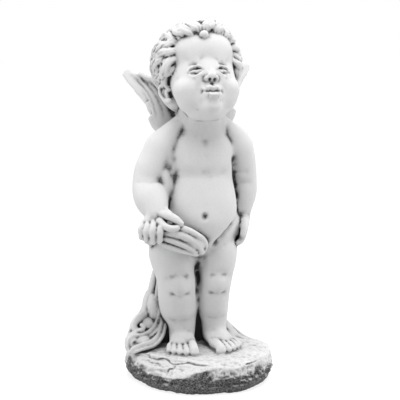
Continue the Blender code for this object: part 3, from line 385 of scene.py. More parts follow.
# short wavy locks combed back over a cap, larger waves and a small curl above the brow
def addHair(shape):
    hair = bmesh.new()
    dice = random.Random(11)
    ball(hair, (0, 3.9, 3.6), (11.9, 11.8, 10.3), segments=32)
    ball(hair, (0, 4.8, -2.2), (10.6, 9.2, 8.2), segments=24)
    for direction in scalpSeeds(320):
        lock(hair, direction, dice.uniform(0.6, 0.9), dice.uniform(1.1, 1.5),
             dice.uniform(0.25, 0.55), dice.choice((0, math.pi)), dice.uniform(1.1, 1.5))
    # larger waves that rise from the hairline over the brow
    for across, wide, height, phase in (
        (-0.66, 1.3, 1.2, 0.2), (-0.52, 1.5, 1.6, 3.4), (-0.38, 1.6, 1.9, 0.1), (-0.24, 1.7, 2.2, 0.9),
        (-0.10, 1.6, 2.3, 0.3), (0.06, 1.6, 2.3, 3), (0.22, 1.6, 2.1, 3.6), (0.36, 1.5, 1.8, 0.3),
        (0.50, 1.4, 1.5, 3.2), (0.63, 1.3, 1.2, 3),
    ):
        up = 0.44 - 0.3 * across**2
        root = Vector((across, -math.sqrt(1 - across**2 - up**2), up))
        lock(hair, root, 0.62, wide, 0.95, phase, height)
    knob = onScalp(Vector((-0.06, -0.93, 0.35)).normalized(), 1.1)
    ball(hair, knob, (1.2, 1.1, 1.1))
    placeInto(shape, hair, headPlace())


# fine strands combed through the locks, in the head's frame
def hairStrands():
    dice = random.Random(5)
    return [
        ([tuple(onScalp(at, 1.6)) for at in combed(seed, 0.42, dice.uniform(0.3, 0.7), dice.uniform(0, 6))],
         dice.uniform(0.2, 0.28), dice.uniform(0.1, 0.2))
        for seed in scalpSeeds(420)
    ]


# the edge that leads, from the back up to the tip, and the edge where the quills end
def wingEdges():
    leading = curveThrough([
        (1.6, 5.6, 50), (2.2, 6.6, 58), (2.8, 8.4, 65), (4, 11, 71), (6.6, 14, 77),
        (10.4, 16.4, 81.2), (15.6, 18.6, 84.2),
    ], 6)
    trailing = curveThrough([
        (6, 8.2, 54), (9.6, 8.8, 60), (12, 9.9, 66.2), (13.2, 11.8, 71), (13.5, 14.2, 75.2),
        (15.6, 17, 79.4), (18, 18.8, 82.2), (20, 20, 84.6),
    ], 6)
    return leading, trailing


# a quill that widens, bows and ends round, with a shaft along the middle
def feather(wing, root, tip, wide, thick, facing):
    middle = root.lerp(tip, 0.5) + Vector((0.3, 0.3, -0.6))
    sweep(wing, [
        (*root, wide * 0.5, thick), (*root.lerp(middle, 0.6), wide * 0.85, thick),
        (*middle, wide, thick), (*middle.lerp(tip, 0.62), wide, thick * 0.85),
        (*tip, wide * 0.62, thick * 0.5),
    ], facing=facing, ridges=1, groove=-0.18)


# the point at a share of an edge's length
def edgeAt(edge, share):
    return Vector(edge[round(share * (len(edge) - 1))])


quillRows = ((8, 1.0, 2.3, 0.0), (10, 0.66, 1.7, 0.6), (9, 0.4, 1.5, 1.1))  # quills, reach, width, lift


# two raised wings: a round arm along the leading edge, long quills and rows of short ones
def addWings(shape):
    leading, trailing = wingEdges()
    facing = Vector((0.11, -0.94, 0.33)).normalized()
    for side in (-1, 1):
        wing = bmesh.new()
        limb(wing, [
            (2, 4.6, 52, 2), (2.4, 6, 58, 2.2), (2.8, 8, 64.4, 2.1), (4, 10.8, 70.6, 1.8),
            (6.6, 13.8, 76.6, 1.5), (10.4, 16.2, 80.8, 1.2), (15.4, 18.4, 83.8, 0.8),
        ])
        rings = []
        for share in np.linspace(0.02, 0.97, 24):
            near = edgeAt(leading, share)
            far = edgeAt(trailing, share).lerp(near, 0.06)
            rings.append([
                near + facing * 0.5, far + facing * 0.35, far - facing * 0.35, near - facing * 0.5,
            ])
        skinRings(wing, rings)
        for row, (quills, reach, wide, lift) in enumerate(quillRows):
            for k in range(quills):
                share = k / (quills - 1)
                root = edgeAt(leading, share * (0.5 + 0.08 * row))
                tip = root.lerp(edgeAt(trailing, share), reach)
                shift = facing * -lift
                feather(wing, root + shift, tip + shift, wide, 0.7 - 0.05 * row, facing)
        if side < 0:
            bmesh.ops.scale(wing, vec=(-1, 1, 1), verts=wing.verts)
            bmesh.ops.reverse_faces(wing, faces=wing.faces)
        placeInto(shape, wing, Matrix.Translation((-1.2, 0, 0.9 + side)))


# long shallow lines on the front of the wings
def wingLines():
    leading, trailing = wingEdges()
    lines = []
    for side in (-1, 1):
        for mix in (0.34, 0.6, 0.85):
            points = []
            for share in (0.93, 0.8, 0.66, 0.52, 0.36):
                at = edgeAt(leading, share).lerp(edgeAt(trailing, share), mix)
                at += Vector((0.13, -1.1, 0.4))
                points.append((side * at.x - 1.2, at.y, at.z + 0.9 + side))
            lines.append((points, 0.45, 0.14))
    return lines


# the cloth from the right hand across the loins, and from the hand round the hips
def addSwag(shape):
    sweep(shape, [
        (-18.6, -9.4, 37.6, 2, 1.2), (-15.4, -10, 37.6, 2.9, 1.5), (-11.4, -10.4, 36.9, 3.4, 1.7),
        (-7.6, -10.1, 35.3, 3.4, 1.9), (-4.8, -9, 34, 3.1, 1.9), (-2.8, -7.4, 33.2, 2.7, 1.8),
        (-1.2, -5.4, 33.2, 2.3, 1.5), (0.2, -3.8, 33.8, 1.7, 1.1),
    ], away=(-6, 2, 38), steps=5, sides=24)
    # the folds in it, from the upper roll to the lower hem
    for thick, fold in (
        (0.95, ((-14.5, -11.5, 40.3), (-8.9, -11.9, 39.2), (-5.4, -11.2, 37.4), (-2.7, -9.6, 35.3),
                (-1.7, -8.2, 33), (-2.6, -7.8, 31))),
        (1.35, ((-15.6, -11.3, 38.6), (-11.1, -11.8, 37.9), (-7.4, -11.3, 36.2), (-4.6, -9.8, 33.9),
                (-3.3, -8.6, 31.7))),
        (0.9, ((-15.8, -11.6, 36.9), (-12, -11.8, 35.6), (-8.2, -11.2, 33.8), (-5.2, -9.6, 31.7))),
        (0.8, ((-16.2, -11, 35.2), (-12.7, -11.2, 33.7), (-8.7, -10.6, 32.2), (-4.6, -9, 30.8))),
    ):
        taper = (0.9, 1.05, 1.0, 0.95, 0.9, 0.8)
        limb(shape, [(*at, thick * share) for at, share in zip(fold, taper)], sides=12)
    sweep(shape, [
        (-18.2, -9, 38.6, 1.8, 1.2), (-19.2, -5.4, 37.2, 2.4, 1.1), (-17.2, -1, 35.2, 3, 1.2),
        (-14.4, 4.8, 33.6, 3.6, 1.4), (-9.6, 9, 33, 4, 1.7), (-3.4, 10.6, 33.2, 4.2, 1.9),
        (3.2, 9.4, 34.2, 3.9, 1.7), (7.6, 6, 35.8, 3, 1.3), (9.6, 2.4, 37, 1.9, 1.1),
    ], away=(-3.4, 0, 34), steps=5, sides=36, ridges=4, groove=0.3, drift=4.0)
    limb(shape, [
        (-19.6, -8.6, 42.2, 0.8), (-20.8, -8.8, 40.6, 0.9), (-21.2, -8.4, 38.4, 0.9),
        (-20.6, -8.6, 36.4, 0.9),
    ], sides=8)


# the cloth that hangs behind the legs, one sheet in upright folds that widen downwards
def addCurtain(shape):
    folds, across = 5.0, 72  # pleats and points from edge to edge
    edges = curveThrough([
        (37.5, -12.2, 7.4, 8.6, 0.2), (34, -13.8, 8.4, 10.8, 0.5), (28, -14.2, 7.8, 11.2, 1),
        (22, -14.4, 7.2, 10.3, 1.4), (15, -15.4, 6.8, 10.2, 1.8), (9, -17, 7, 11.4, 2.2),
        (4, -19, 7.8, 12.8, 2.6), (-2, -20, 8.8, 14.2, 2.8),
    ], 4)
    rings = []
    for z, left, right, back, fold in edges:
        ring = []
        for u in np.linspace(0, 1, across):
            bulge = math.sqrt(max(0.0, 1 - abs(2 * u - 1) ** 4))
            wander = 0.35 * math.sin(0.15 * z + 4 * u) + 0.4 * math.sin(7 * u + 1.3) - 0.012 * z * u
            pleat = abs(math.cos(math.pi * (folds * u + wander))) - 0.55
            swell = 0.8 + 0.45 * math.sin(9 * u + 0.08 * z)
            y = 3 + (back - 3) * bulge + fold * swell * pleat * min(1.0, 1.4 * bulge)
            ring.append((left + (right - left) * u, y, z))
        ring += [(left + (right - left) * u, 1.2, z) for u in np.linspace(1, 0, 12)[1:-1]]
        rings.append(ring)
    skinRings(shape, rings)


heapOut = (-0.5, -0.75, 0.45)
# its folds: one that rolls into the scroll, one beside the calf, the hem, and two behind
heapFolds = (
    (heapOut, 1, (
        (-12, 8, 27, 1.3, 1.1), (-14, 7.4, 21.2, 1.6, 1.2), (-15.3, 6.6, 15.9, 1.8, 1.3),
        (-17, 5.6, 11.9, 1.9, 1.3), (-18.8, 4, 9.4, 1.8, 1.2), (-20.9, 2.2, 8.7, 1.4, 1.1),
        (-22.2, 0.9, 7.5, 1.1, 1), (-22, 0, 6, 1, 0.9), (-20.5, -0.6, 5.8, 0.8, 0.8),
        (-19.5, -0.8, 6.9, 0.7, 0.7), (-20.3, -0.9, 7.7, 0.5, 0.5))),
    (heapOut, 2, (
        (-12.8, 6, 19.5, 1, 0.8), (-13.5, 4.8, 13.9, 1.5, 1), (-13.8, 3.4, 10, 1.8, 1.1),
        (-15, 1.8, 6.8, 1.9, 1.1), (-17.3, 0.2, 5, 1.8, 1.1), (-20.1, -1, 4.3, 1.7, 1),
        (-22.8, -1.9, 4.4, 1.7, 1), (-24.2, -2.5, 3.6, 1.5, 1), (-24.6, -3, 2, 1.3, 0.9),
        (-24.4, -3.4, 0.6, 1, 0.8))),
    (heapOut, 2, (
        (-12.6, 3.6, 12.6, 1, 0.8), (-12.9, 2.2, 8.4, 1.4, 1), (-14, 0.4, 4.6, 1.7, 1.1),
        (-16.6, -2, 2.6, 1.9, 1.2), (-20.2, -3.4, 2, 1.8, 1.1), (-23, -4.2, 1.2, 1.5, 1),
        (-24.2, -4.4, 0.2, 1.2, 0.9))),
    ((-0.9, -0.1, 0.3), 2, (
        (-12.8, 9, 24, 1.5, 1), (-14.2, 9, 17, 2, 1.2), (-15.8, 8.4, 11.6, 2.3, 1.4),
        (-18.4, 6.8, 7.8, 2.4, 1.4), (-21.4, 4.4, 5.2, 2.2, 1.3), (-23.2, 1.4, 2.6, 1.8, 1.2),
        (-24, -1, 0.8, 1.4, 1))),
    ((-0.8, 0.5, 0.3), 2, (
        (-11.6, 10.8, 18, 1.8, 1.1), (-13.4, 11.2, 11, 2.2, 1.4), (-15.8, 10.6, 6, 2.4, 1.5),
        (-19, 8.6, 2.6, 2.2, 1.4), (-21.6, 5.8, 0.6, 1.8, 1.2))),
)


# the end of the cloth, which swings out beside the right calf, curls and lies on the rock
def addHeap(shape):
    ball(shape, (-18.0, 4.6, 4.8), (5.2, 4.8, 4.8))
    ball(shape, (-20.6, 0.2, 2.2), (4.6, 4.2, 2.8))
    ball(shape, (-15.4, 5.0, 9.6), (2.4, 3.4, 6.4))
    ball(shape, (-15.4, 8.2, 9.0), (3.2, 3.4, 8.0))
    for facing, ridges, fold in heapFolds:
        groove = 0.34 if ridges > 1 else 0.14
        sweep(shape, fold, facing=facing, steps=5, sides=20, ridges=ridges, groove=groove)


# how far the rock's edge lies from its middle, as a share of its half sizes
def rockReach(angle):
    return (
        1 - 0.052 * math.sin(2 * angle) + 0.02 * math.sin(3 * angle + 0.5)
        + 0.014 * math.sin(5 * angle + 0.4) + 0.01 * math.sin(9 * angle)
    )


# along and across the grain in which the rock splits
def splitGrain(x, y):
    return 0.74 * x - 0.68 * y, 0.68 * x + 0.74 * y


# height of the rock's upper side: split plates that drop to the rim, and a rise at the back
def rockTop(x, y, share):
    height = rock["height"] * (1 - 0.16 * max(0.0, (share - 0.6) / 0.4) ** 2)
    # in front of the long split the slab lies lower and falls to the rim
    wander = 0.005 * noise.noise(Vector((30 * x, 30 * y, 4.0)))
    ahead = -0.676 * (x + 0.093) - 0.737 * (y + 0.003) + wander
    height -= 0.0032 * max(0.0, min(1.0, ahead / 0.003)) + 0.26 * max(0.0, ahead - 0.004)
    along, across = splitGrain(x, y)
    steps = 2.6 * noise.noise(Vector((along * 11, across * 42, 1.7)))
    terrace = math.floor(steps) + min(1.0, (steps - math.floor(steps)) * 4)
    rough = noise.noise(Vector((x, y, 0)) * 130)
    # the plates are level under the feet
    flat = math.exp(-(((x + 0.004) / 0.062) ** 4 + ((y + 0.03) / 0.034) ** 4))
    height += (1 - 0.85 * flat) * (0.0016 * terrace + 0.0011 * rough)
    knob = math.exp(-(((x - 0.040) / 0.026) ** 2 + ((y - 0.050) / 0.024) ** 2))
    return height + 0.032 * knob


# the slab under the feet: its broken wall, its rim and its split upper side
def addRock(shape):
    half = Vector((rock["width"] / 2, rock["depth"] / 2))
    angles = np.linspace(0, 2 * math.pi, 220, endpoint=False)
    low = 0.54 * rock["height"]

    # a ring of points from its shares of the half sizes and a function of its height
    def ring(shares, heightAt):
        points = []
        for angle, share in zip(angles, shares):
            reach = rockReach(angle) * share
            x, y = half.x * reach * math.cos(angle), half.y * reach * math.sin(angle)
            points.append((x, y, heightAt(x, y, share)))
        return points

    def chipped(angle, level, spread):
        at = Vector((math.cos(angle), math.sin(angle), 1.3 * level))
        chip = abs(noise.noise(at * 3.1)) * 1.6 + 0.6 * abs(noise.noise(at * 8)) - 0.3
        return spread - 0.05 * chip * (0.3 + level)

    # the broken rim is narrow where the slab ends sharply and wide where it has worn off
    def worn(angle):
        at = Vector((2.2 * math.cos(angle), 2.2 * math.sin(angle), 5.0))
        return 0.05 + 0.07 * max(0.0, noise.noise(at) + 0.35)

    rings = []
    for level, spread in (
        (-0.2, 0.86), (0, 0.88), (0.14, 0.93), (0.27, 0.97), (0.38, 0.985), (0.46, 0.99),
    ):
        shares = [chipped(angle, level, spread) for angle in angles]
        rings.append(ring(shares, lambda x, y, share: rock["height"] * level))
    for step in np.linspace(0, 1, 7):
        shares = [0.985 - worn(angle) * step for angle in angles]
        rise = math.sin(0.5 * math.pi * step) ** 0.8
        rings.append(ring(shares, lambda x, y, share: low + (rockTop(x, y, share) - low) * rise))
    for share in np.linspace(0.86, 0.02, 44):
        rings.append(ring([share] * len(angles), rockTop))
    skinRings(shape, rings)


# long splits in the rock: half widths and depths in metres, paths in millimetres
rockSplits = (
    (0.0009, 0.0026, ((-95, 0), (-83, -12), (-75, -29), (-60, -41), (-51, -56), (-34, -63), (-20, -77),
                      (4, -88))),
    (0.0007, 0.0018, ((-72, -79), (-64, -69), (-56, -67), (-47, -58))),
    (0.0008, 0.0020, ((44, -86), (53, -85), (60, -78), (74, -68))),
    (0.0006, 0.0012, ((-94, -18), (-84, -28), (-78, -40), (-66, -58))),
    (0.0006, 0.0010, ((-30, -52), (-16, -66), (0, -68), (22, -75))),
    (0.0006, 0.0012, ((62, -20), (76, -34), (82, -36), (94, -48))),
    (0.0007, 0.0014, ((-60, 70), (-20, 84), (30, 82))),
)


def rockCracks():
    return [
        ([(x / 1000, y / 1000, rock["height"]) for x, y in path], wide, deep)
        for wide, deep, path in rockSplits
    ]


# creases and dimples of the flesh: paths, half widths and depths, below 0 raised
bodyCreases = (
    ([(-21.6, -1, 51.8), (-18.5, -4.5, 51.9), (-14.2, -4, 52.2)], 0.6, 0.3),
    ([(9.8, -1.4, 50.6), (12.6, -1.9, 50.8), (14.6, -1, 51)], 0.8, 0.4),
    ([(9.4, -1, 54.2), (12.2, -2, 54.4), (13.4, -1.8, 54.2)], 0.8, 0.3),
    ([(9.8, -0.8, 41.6), (12.4, -1.8, 41.2), (15.2, 0.4, 40.6)], 0.7, 0.6),
    ([(-19.6, -9.4, 43), (-16.5, -11, 43.6), (-13.6, -10, 45)], 0.8, 0.35),
    ([(9.4, -3, 41.6), (5.6, -6.8, 37.6), (2.6, -7.6, 34.6), (0.4, -7, 31.6)], 1, 1),
    ([(-10.2, -3.4, 61), (-10.6, -3.4, 58.6), (-11.8, -3, 55), (-12.8, -2, 51.6)], 0.8, 0.3),
    ([(8.6, -3.2, 60.6), (8.9, -3.2, 58), (9.4, -2, 53.4), (9.6, -1, 48), (9.8, -0.6, 42.6)], 0.9, 0.7),
    ([(-9.6, -4, 57.6), (-6.4, -6, 54.9), (-0.9, -6.8, 54.4), (4.6, -6, 54.9), (7.8, -4, 57.6)],
     1.7, 0.4),
    ([(-0.8, -6, 62.4), (-0.9, -6.6, 57.6), (-1.1, -7, 53.6)], 1.6, 0.2),
    ([(-2.4, -5, 63.6), (-6, -5, 64.6), (-10, -3, 64.8)], 1.4, -0.2),
    ([(0.8, -5, 63.6), (4.2, -5, 64.6), (8, -3, 64.8)], 1.4, -0.2),
    ([(-9.4, -7.6, 21.6), (-9.2, -7.6, 20.2)], 2.2, -0.55),
    ([(3, -6.8, 21.4), (3, -6.8, 20)], 2, -0.55),
    ([(-12.9, -5, 18.6), (-9.2, -6.8, 17.6), (-5.4, -5.6, 18.6)], 1, 0.7),
    ([(-0.6, -4.6, 18.2), (3, -5.8, 17), (6.6, -4.6, 18.2)], 1, 0.7),
    ([(-12.8, -5.6, 22.8), (-9.4, -7.2, 24.2), (-6.2, -6.2, 22.8)], 1.2, 0.55),
    ([(0, -5.4, 22.6), (3, -6.4, 24), (6.2, -5.4, 22.6)], 1.2, 0.55),
    ([(-12.8, -2, 9.6), (-8.2, -4.8, 8.6), (-3.6, -2.4, 9.6)], 0.9, 0.55),
    ([(-1.2, -1.6, 9.8), (3.2, -4.2, 8.6), (7.2, -1.4, 9.6)], 0.9, 0.55),
    ([(-10.6, -3, 5.8), (-7.6, -4.4, 5.4), (-4.6, -3, 5.8)], 1, 0.3),
    ([(0.4, -3, 5.8), (3.4, -4.4, 5.4), (6.4, -3, 5.8)], 1, 0.3),
    ([(-5.4, -5.4, 70.8), (-0.6, -7.6, 70), (4.4, -5.4, 70.8)], 1.1, 0.5),
    ([(-3, -2.6, 29.4), (-3.2, -3.2, 25), (-3.2, -3.4, 20), (-3, -3, 15)], 0.9, 0.8),
    ([(-2.2, -10.2, 42.7), (-2.2, -10.2, 42.3)], 0.85, 1.1),
    ([(-0.9, -5.4, 64.2), (-0.9, -5.4, 63.6)], 1, 0.16),
)


# the same lines on the right and on the left
def onBothSides(lines):
    return [
        ([(side * x, y, z) for x, y, z in path], wide, deep)
        for side in (-1, 1) for path, wide, deep in lines
    ]


# hollows of the eyes and the brows over them, in the head's frame
def headCreases():
    return onBothSides((
        ([(3.1, -10, -2.6), (4.2, -10, -2.4), (5.8, -9, -2.8)], 1.8, 0.95),
        ([(2, -10, 0.3), (3.8, -10, 0.9), (6, -9, 0.2)], 1.6, -0.25),
    ))


# a path over an eyeball, with its corners at the height low and its middle at high
def arc(low, high):
    points = []
    for t in (-1, -0.5, 0, 0.5, 1):
        z = low + (high - low) * (1 - t * t) - 0.12 * t
        points.append((eye["centre"].x + eye["corner"] * t, eye["front"] + 0.6 * t * t, z))
    return points


# a calm, plain child's face on even proportions: lips, chin, lids and nostrils
def faceLines():
    return [
        ([(-2.6, -10, -8.7), (-1.3, -10.9, -8.95), (0, -11.3, -9.15), (1.3, -10.9, -8.95),
          (2.6, -10, -8.7)], 0.3, 0.55),
        ([(-2.1, -10.4, -8.35), (-0.8, -11.1, -7.95), (0, -11.3, -8.2), (0.8, -11.1, -7.95),
          (2.1, -10.4, -8.35)], 0.6, -0.8),
        ([(-1.5, -10.6, -9.8), (0, -11.2, -10.15), (1.5, -10.6, -9.8)], 0.75, -0.9),
        ([(-1.6, -10.2, -11.5), (0, -10.4, -11.7), (1.6, -10.2, -11.5)], 1, 0.1),
        ([(0, -11.2, -6.7), (0, -11.2, -7.4)], 0.45, 0.14),
        *onBothSides((
            (arc(-2.75, -1.5), 0.42, -0.3), (arc(-3.0, -2.05), 0.3, 0.6),
            (arc(-3.1, -3.55), 0.26, 0.28), (arc(-3.3, -4.25), 0.45, -0.2),
            ([(0.7, -11.2, -6), (0.78, -11, -6)], 0.36, 0.45),
            ([(1.6, -10.6, -4.5), (2.1, -10.1, -5.2), (1.9, -10.1, -5.9)], 0.4, 0.12),
            ([(2.9, -9.8, -8.5), (3, -9.7, -9)], 0.5, 0.2),
        )),
    ]


# paths with their half widths and depths, moved and scaled by place
def placed(lines, place):
    scale = place.median_scale
    return [
        ([place @ Vector(at) for at in path], wide * scale, deep * scale)
        for path, wide, deep in lines
    ]


def readPoints(mesh, what="co"):
    values = np.empty(len(mesh.vertices) * 3)
    mesh.vertices.foreach_get(what, values)
    return values.reshape(-1, 3)


def writePoints(mesh, points):
    mesh.vertices.foreach_set("co", points.ravel())
    mesh.update()


# which points lie in the box round a line, with room on all sides
def inBox(points, line, room):
    return ((points > line.min(axis=0) - room) & (points < line.max(axis=0) + room)).all(axis=1)


# 1 on a path that is laid on the points, falling to 0 away from it and at its ends
def nearPath(points, path, wide):
    line = curveThrough(path, 5)
    room = 3 * wide + 0.03 * (points.max(axis=0) - points.min(axis=0)).max()
    around = points[inBox(points, line, room)]
    line = np.array([around[np.argmin(((around - at) ** 2).sum(axis=1))] for at in line])
    close = np.flatnonzero(inBox(points, line, 3 * wide))
    gaps = np.full(len(close), np.inf)
    shares = np.zeros(len(close))
    for k, (a, b) in enumerate(zip(line, line[1:])):
        along = b - a
        t = np.clip((points[close] - a) @ along / max(along @ along, 1e-9), 0, 1)
        gap = np.linalg.norm(points[close] - a - t[:, None] * along, axis=1)
        shares = np.where(gap < gaps, (k + t) / (len(line) - 1), shares)
        gaps = np.minimum(gap, gaps)
    taper = np.clip(np.minimum(shares, 1 - shares) * 5, 0.25, 1) if len(path) > 2 else 1
    made = np.zeros(len(points))
    made[close] = np.exp(-((gaps / wide) ** 2)) * taper
    return made


# sinks the creases into the mesh along its normals
def press(mesh, creases):
    points, normals = readPoints(mesh), readPoints(mesh, "normal")
    sunk = sum(deep * nearPath(points, path, wide) for path, wide, deep in creases)
    writePoints(mesh, points - normals * sunk[:, None])


def configure(thing, settings):
    for name, value in settings.items():
        setattr(thing, name, value)


def addObject(name, data):
    made = bpy.data.objects.new(name, data)
    bpy.context.scene.collection.objects.link(made)
    return made


# a new mesh from what modifiers, each a kind and its settings, make of this one
def modified(mesh, *modifiers):
    worked = addObject(mesh.name, mesh)
    for kind, settings in modifiers:
        configure(worked.modifiers.new(kind, kind), settings)
    bpy.context.view_layer.update()
    graph = bpy.context.evaluated_depsgraph_get()
    made = bpy.data.meshes.new_from_object(worked.evaluated_get(graph))
    bpy.data.objects.remove(worked)
    return made


# one closed skin round everything in shape, softened by the given rounds
def fuse(name, shape, voxel, rounds):
    mesh = bpy.data.meshes.new(name)
    shape.to_mesh(mesh)
    shape.free()
    skin = ("REMESH", {"mode": "VOXEL", "voxel_size": voxel})
    fused = modified(mesh, skin, ("SMOOTH", {"iterations": rounds}))
    bpy.data.meshes.remove(mesh)
    return fused


# from percent of the figure's height to metres on the rock
def figurePlace():
    stand = (figure["standRight"], figure["standBack"], rock["height"] - figure["soleSink"])
    return Matrix.Translation(stand) @ Matrix.Scale(figure["height"] / 100, 4)


# the body and head as one soft skin with its creases
def sculptFlesh():
    soft = bmesh.new()
    for add in (addTorso, addRightArm, addLeftArm, addLegs):
        add(soft)
    for foot in feet.values():
        addFoot(soft, *foot)
    addHead(soft)
    flesh = fuse("flesh", soft, figureVoxel(), casting["softRounds"])
    press(flesh, (*bodyCreases, *placed(headCreases(), headPlace())))
    evened = bmesh.new()
    evened.from_mesh(flesh)
    for _ in range(casting["creaseRounds"]):
        bmesh.ops.smooth_vert(
            evened, verts=evened.verts, factor=0.5, use_axis_x=True, use_axis_y=True, use_axis_z=True,
        )
    return evened


# the whole casting as one dense mesh in metres
def sculptCherub():
    crisp = sculptFlesh()
    addRightFingers(crisp)
    addLeftFingers(crisp)
    for foot in feet.values():
        addToes(crisp, *foot)
    for add in (addFace, addHair, addWings, addSwag, addCurtain, addHeap):
        add(crisp)
    crisp.transform(figurePlace())
    addRock(crisp)
    cherub = fuse("cherub", crisp, casting["voxel"], casting["crispRounds"])
    onHead = placed([*faceLines(), *hairStrands()], figurePlace() @ headPlace())
    press(cherub, (*onHead, *placed(wingLines(), figurePlace()), *rockCracks()))
    return cherub


# the same form with fewer triangles, kept where it curves most
def thinOut(mesh, triangles):
    return modified(mesh, ("DECIMATE", {"ratio": triangles / (2 * len(mesh.polygons))}))


# cuts the rock off flat at the ground and closes it
def cutUnderside(mesh):
    shape = bmesh.new()
    shape.from_mesh(mesh)
    cut = bmesh.ops.bisect_plane(
        shape, geom=shape.verts[:] + shape.edges[:] + shape.faces[:],
        plane_co=(0, 0, 0), plane_no=facingUp, clear_inner=True,
    )
    rim = [edge for edge in cut["geom_cut"] if isinstance(edge, bmesh.types.BMEdge)]
    bmesh.ops.contextual_create(shape, geom=rim)
    bmesh.ops.triangulate(shape, faces=shape.faces)
    shape.to_mesh(mesh)
    shape.free()


# noise at many points, in waves of about one over the scale
def noiseAt(points, scale, seed=0.0):
    shift = Vector((seed, seed * 1.7, -seed))
    return np.array([noise.noise(Vector(p) * scale + shift) for p in points])


rockGrain = {
    "wallRough": 0.0011, "wallFacets": 0.0075, "wallPits": 0.0013, "topRough": 0.00045, "layers": 0.0022,
}


# roughens the rock: coarse and pitted on the wall, fine on the split upper side
def roughenRock(mesh):
    points, normals = readPoints(mesh), readPoints(mesh, "normal")
    near = np.flatnonzero(points[:, 2] < rock["height"] + 0.03)
    at, out = points[near], normals[near]
    wallShare = np.clip(1.15 - 1.9 * np.abs(out[:, 2]), 0, 1)
    wallShare *= np.clip((rock["height"] - at[:, 2]) / 0.008, 0, 1)
    topShare = np.clip(out[:, 2] * 2 - 0.8, 0, 1)
    topShare *= np.clip((rock["height"] + 0.004 - at[:, 2]) / 0.004, 0, 1)
    coarse = noiseAt(at, 230) + 0.6 * noiseAt(at, 520, 3.0)
    facets = -np.abs(noiseAt(at, 85, 5.0)) - 0.5 * np.abs(noiseAt(at, 190, 6.0))
    pits = np.clip(noiseAt(at, 330, 7.0) - 0.2, 0, 1) * 3
    # thin layers along the split, clearest at the left
    along, across = splitGrain(at[:, 0], at[:, 1])
    layers = noiseAt(np.stack([along * 0.12, across, 0.2 * at[:, 2]], axis=1), 330, 2.0)
    layers = -np.clip(layers - 0.12, 0, 1) * np.clip(0.35 - 9 * at[:, 0], 0, 1)
    move = wallShare * (
        rockGrain["wallRough"] * coarse + rockGrain["wallFacets"] * facets - rockGrain["wallPits"] * pits
    )
    move += topShare * (rockGrain["topRough"] * coarse + rockGrain["layers"] * layers)
    points[near] = at + out * move[:, None]
    writePoints(mesh, points)


# settings of the painted shade: rays that measure how much sky near surfaces hide, and the broad hollows
# that turn grey
paintedShadeLook = {"skyTriangles": 60000, "rays": 20, "reach": 0.05, "formRounds": 150, "formDepth": 0.009}

# hollows: rounds that find them, depth where wash begins, depth from there to full, share, softening
hollowBands = (
    (3, 0.00001, 0.00014, 0.58, 1), (12, 0.0001, 0.0006, 0.46, 3), (45, 0.0006, 0.0026, 0.25, 14),
)


# the two ends of every edge, and how many edges meet at each point
def neighbours(mesh):
    ends = np.empty(len(mesh.edges) * 2, int)
    mesh.edges.foreach_get("vertices", ends)
    return ends[0::2], ends[1::2], np.bincount(ends, minlength=len(mesh.vertices))


# values at the points, moved halfway to the average of their neighbours
def evenedOut(values, a, b, count):
    total = np.bincount(a, values[b], len(values)) + np.bincount(b, values[a], len(values))
    return 0.5 * values + 0.5 * total / count


def soften(mesh, values, rounds):
    edges = neighbours(mesh)
    for _ in range(rounds):
        values = evenedOut(values, *edges)
    return values


# how hollow the surface is at each point: how far outside it the average of its
# surroundings lies, after each of the given numbers of rounds
def hollowness(mesh, rounds):
    points, normals = readPoints(mesh), readPoints(mesh, "normal")
    edges = neighbours(mesh)
    smooth = points
    made = {}
    for step in range(1, max(rounds) + 1):
        smooth = np.stack([evenedOut(column, *edges) for column in smooth.T], axis=1)
        if step in rounds:
            made[step] = ((smooth - points) * normals).sum(axis=1)
    return made


# the share of the sky that near surfaces hide, on a thinned copy and carried back to every point
def hiddenSky(mesh):
    coarse = thinOut(mesh.copy(), paintedShadeLook["skyTriangles"])
    tree = BVHTree.FromPolygons([v.co for v in coarse.vertices], [p.vertices for p in coarse.polygons])
    rays = evenDirections(paintedShadeLook["rays"], 1)
    found = KDTree(len(coarse.vertices))
    skyShade = []
    for k, vertex in enumerate(coarse.vertices):
        found.insert(vertex.co, k)
        turn = vertex.normal.to_track_quat("Z", "Y")
        start = vertex.co + vertex.normal * 0.0008  # clear of the surface itself
        hits = 0.0
        for ray in rays:
            hit = tree.ray_cast(start, turn @ ray, paintedShadeLook["reach"])
            if hit[0]:
                hits += 1 - hit[3] / paintedShadeLook["reach"]
        skyShade.append(hits / len(rays))
    found.balance()
    return np.array([
        sum(skyShade[k] / (gap + 1e-4) for _, k, gap in near) / sum(1 / (gap + 1e-4) for _, k, gap in near)
        for near in (found.find_n(vertex.co, 3) for vertex in mesh.vertices)
    ])


def addAttribute(mesh, name, values):
    attribute = mesh.attributes.new(name, "FLOAT", "POINT")
    attribute.data.foreach_set("value", values.astype(np.float32))
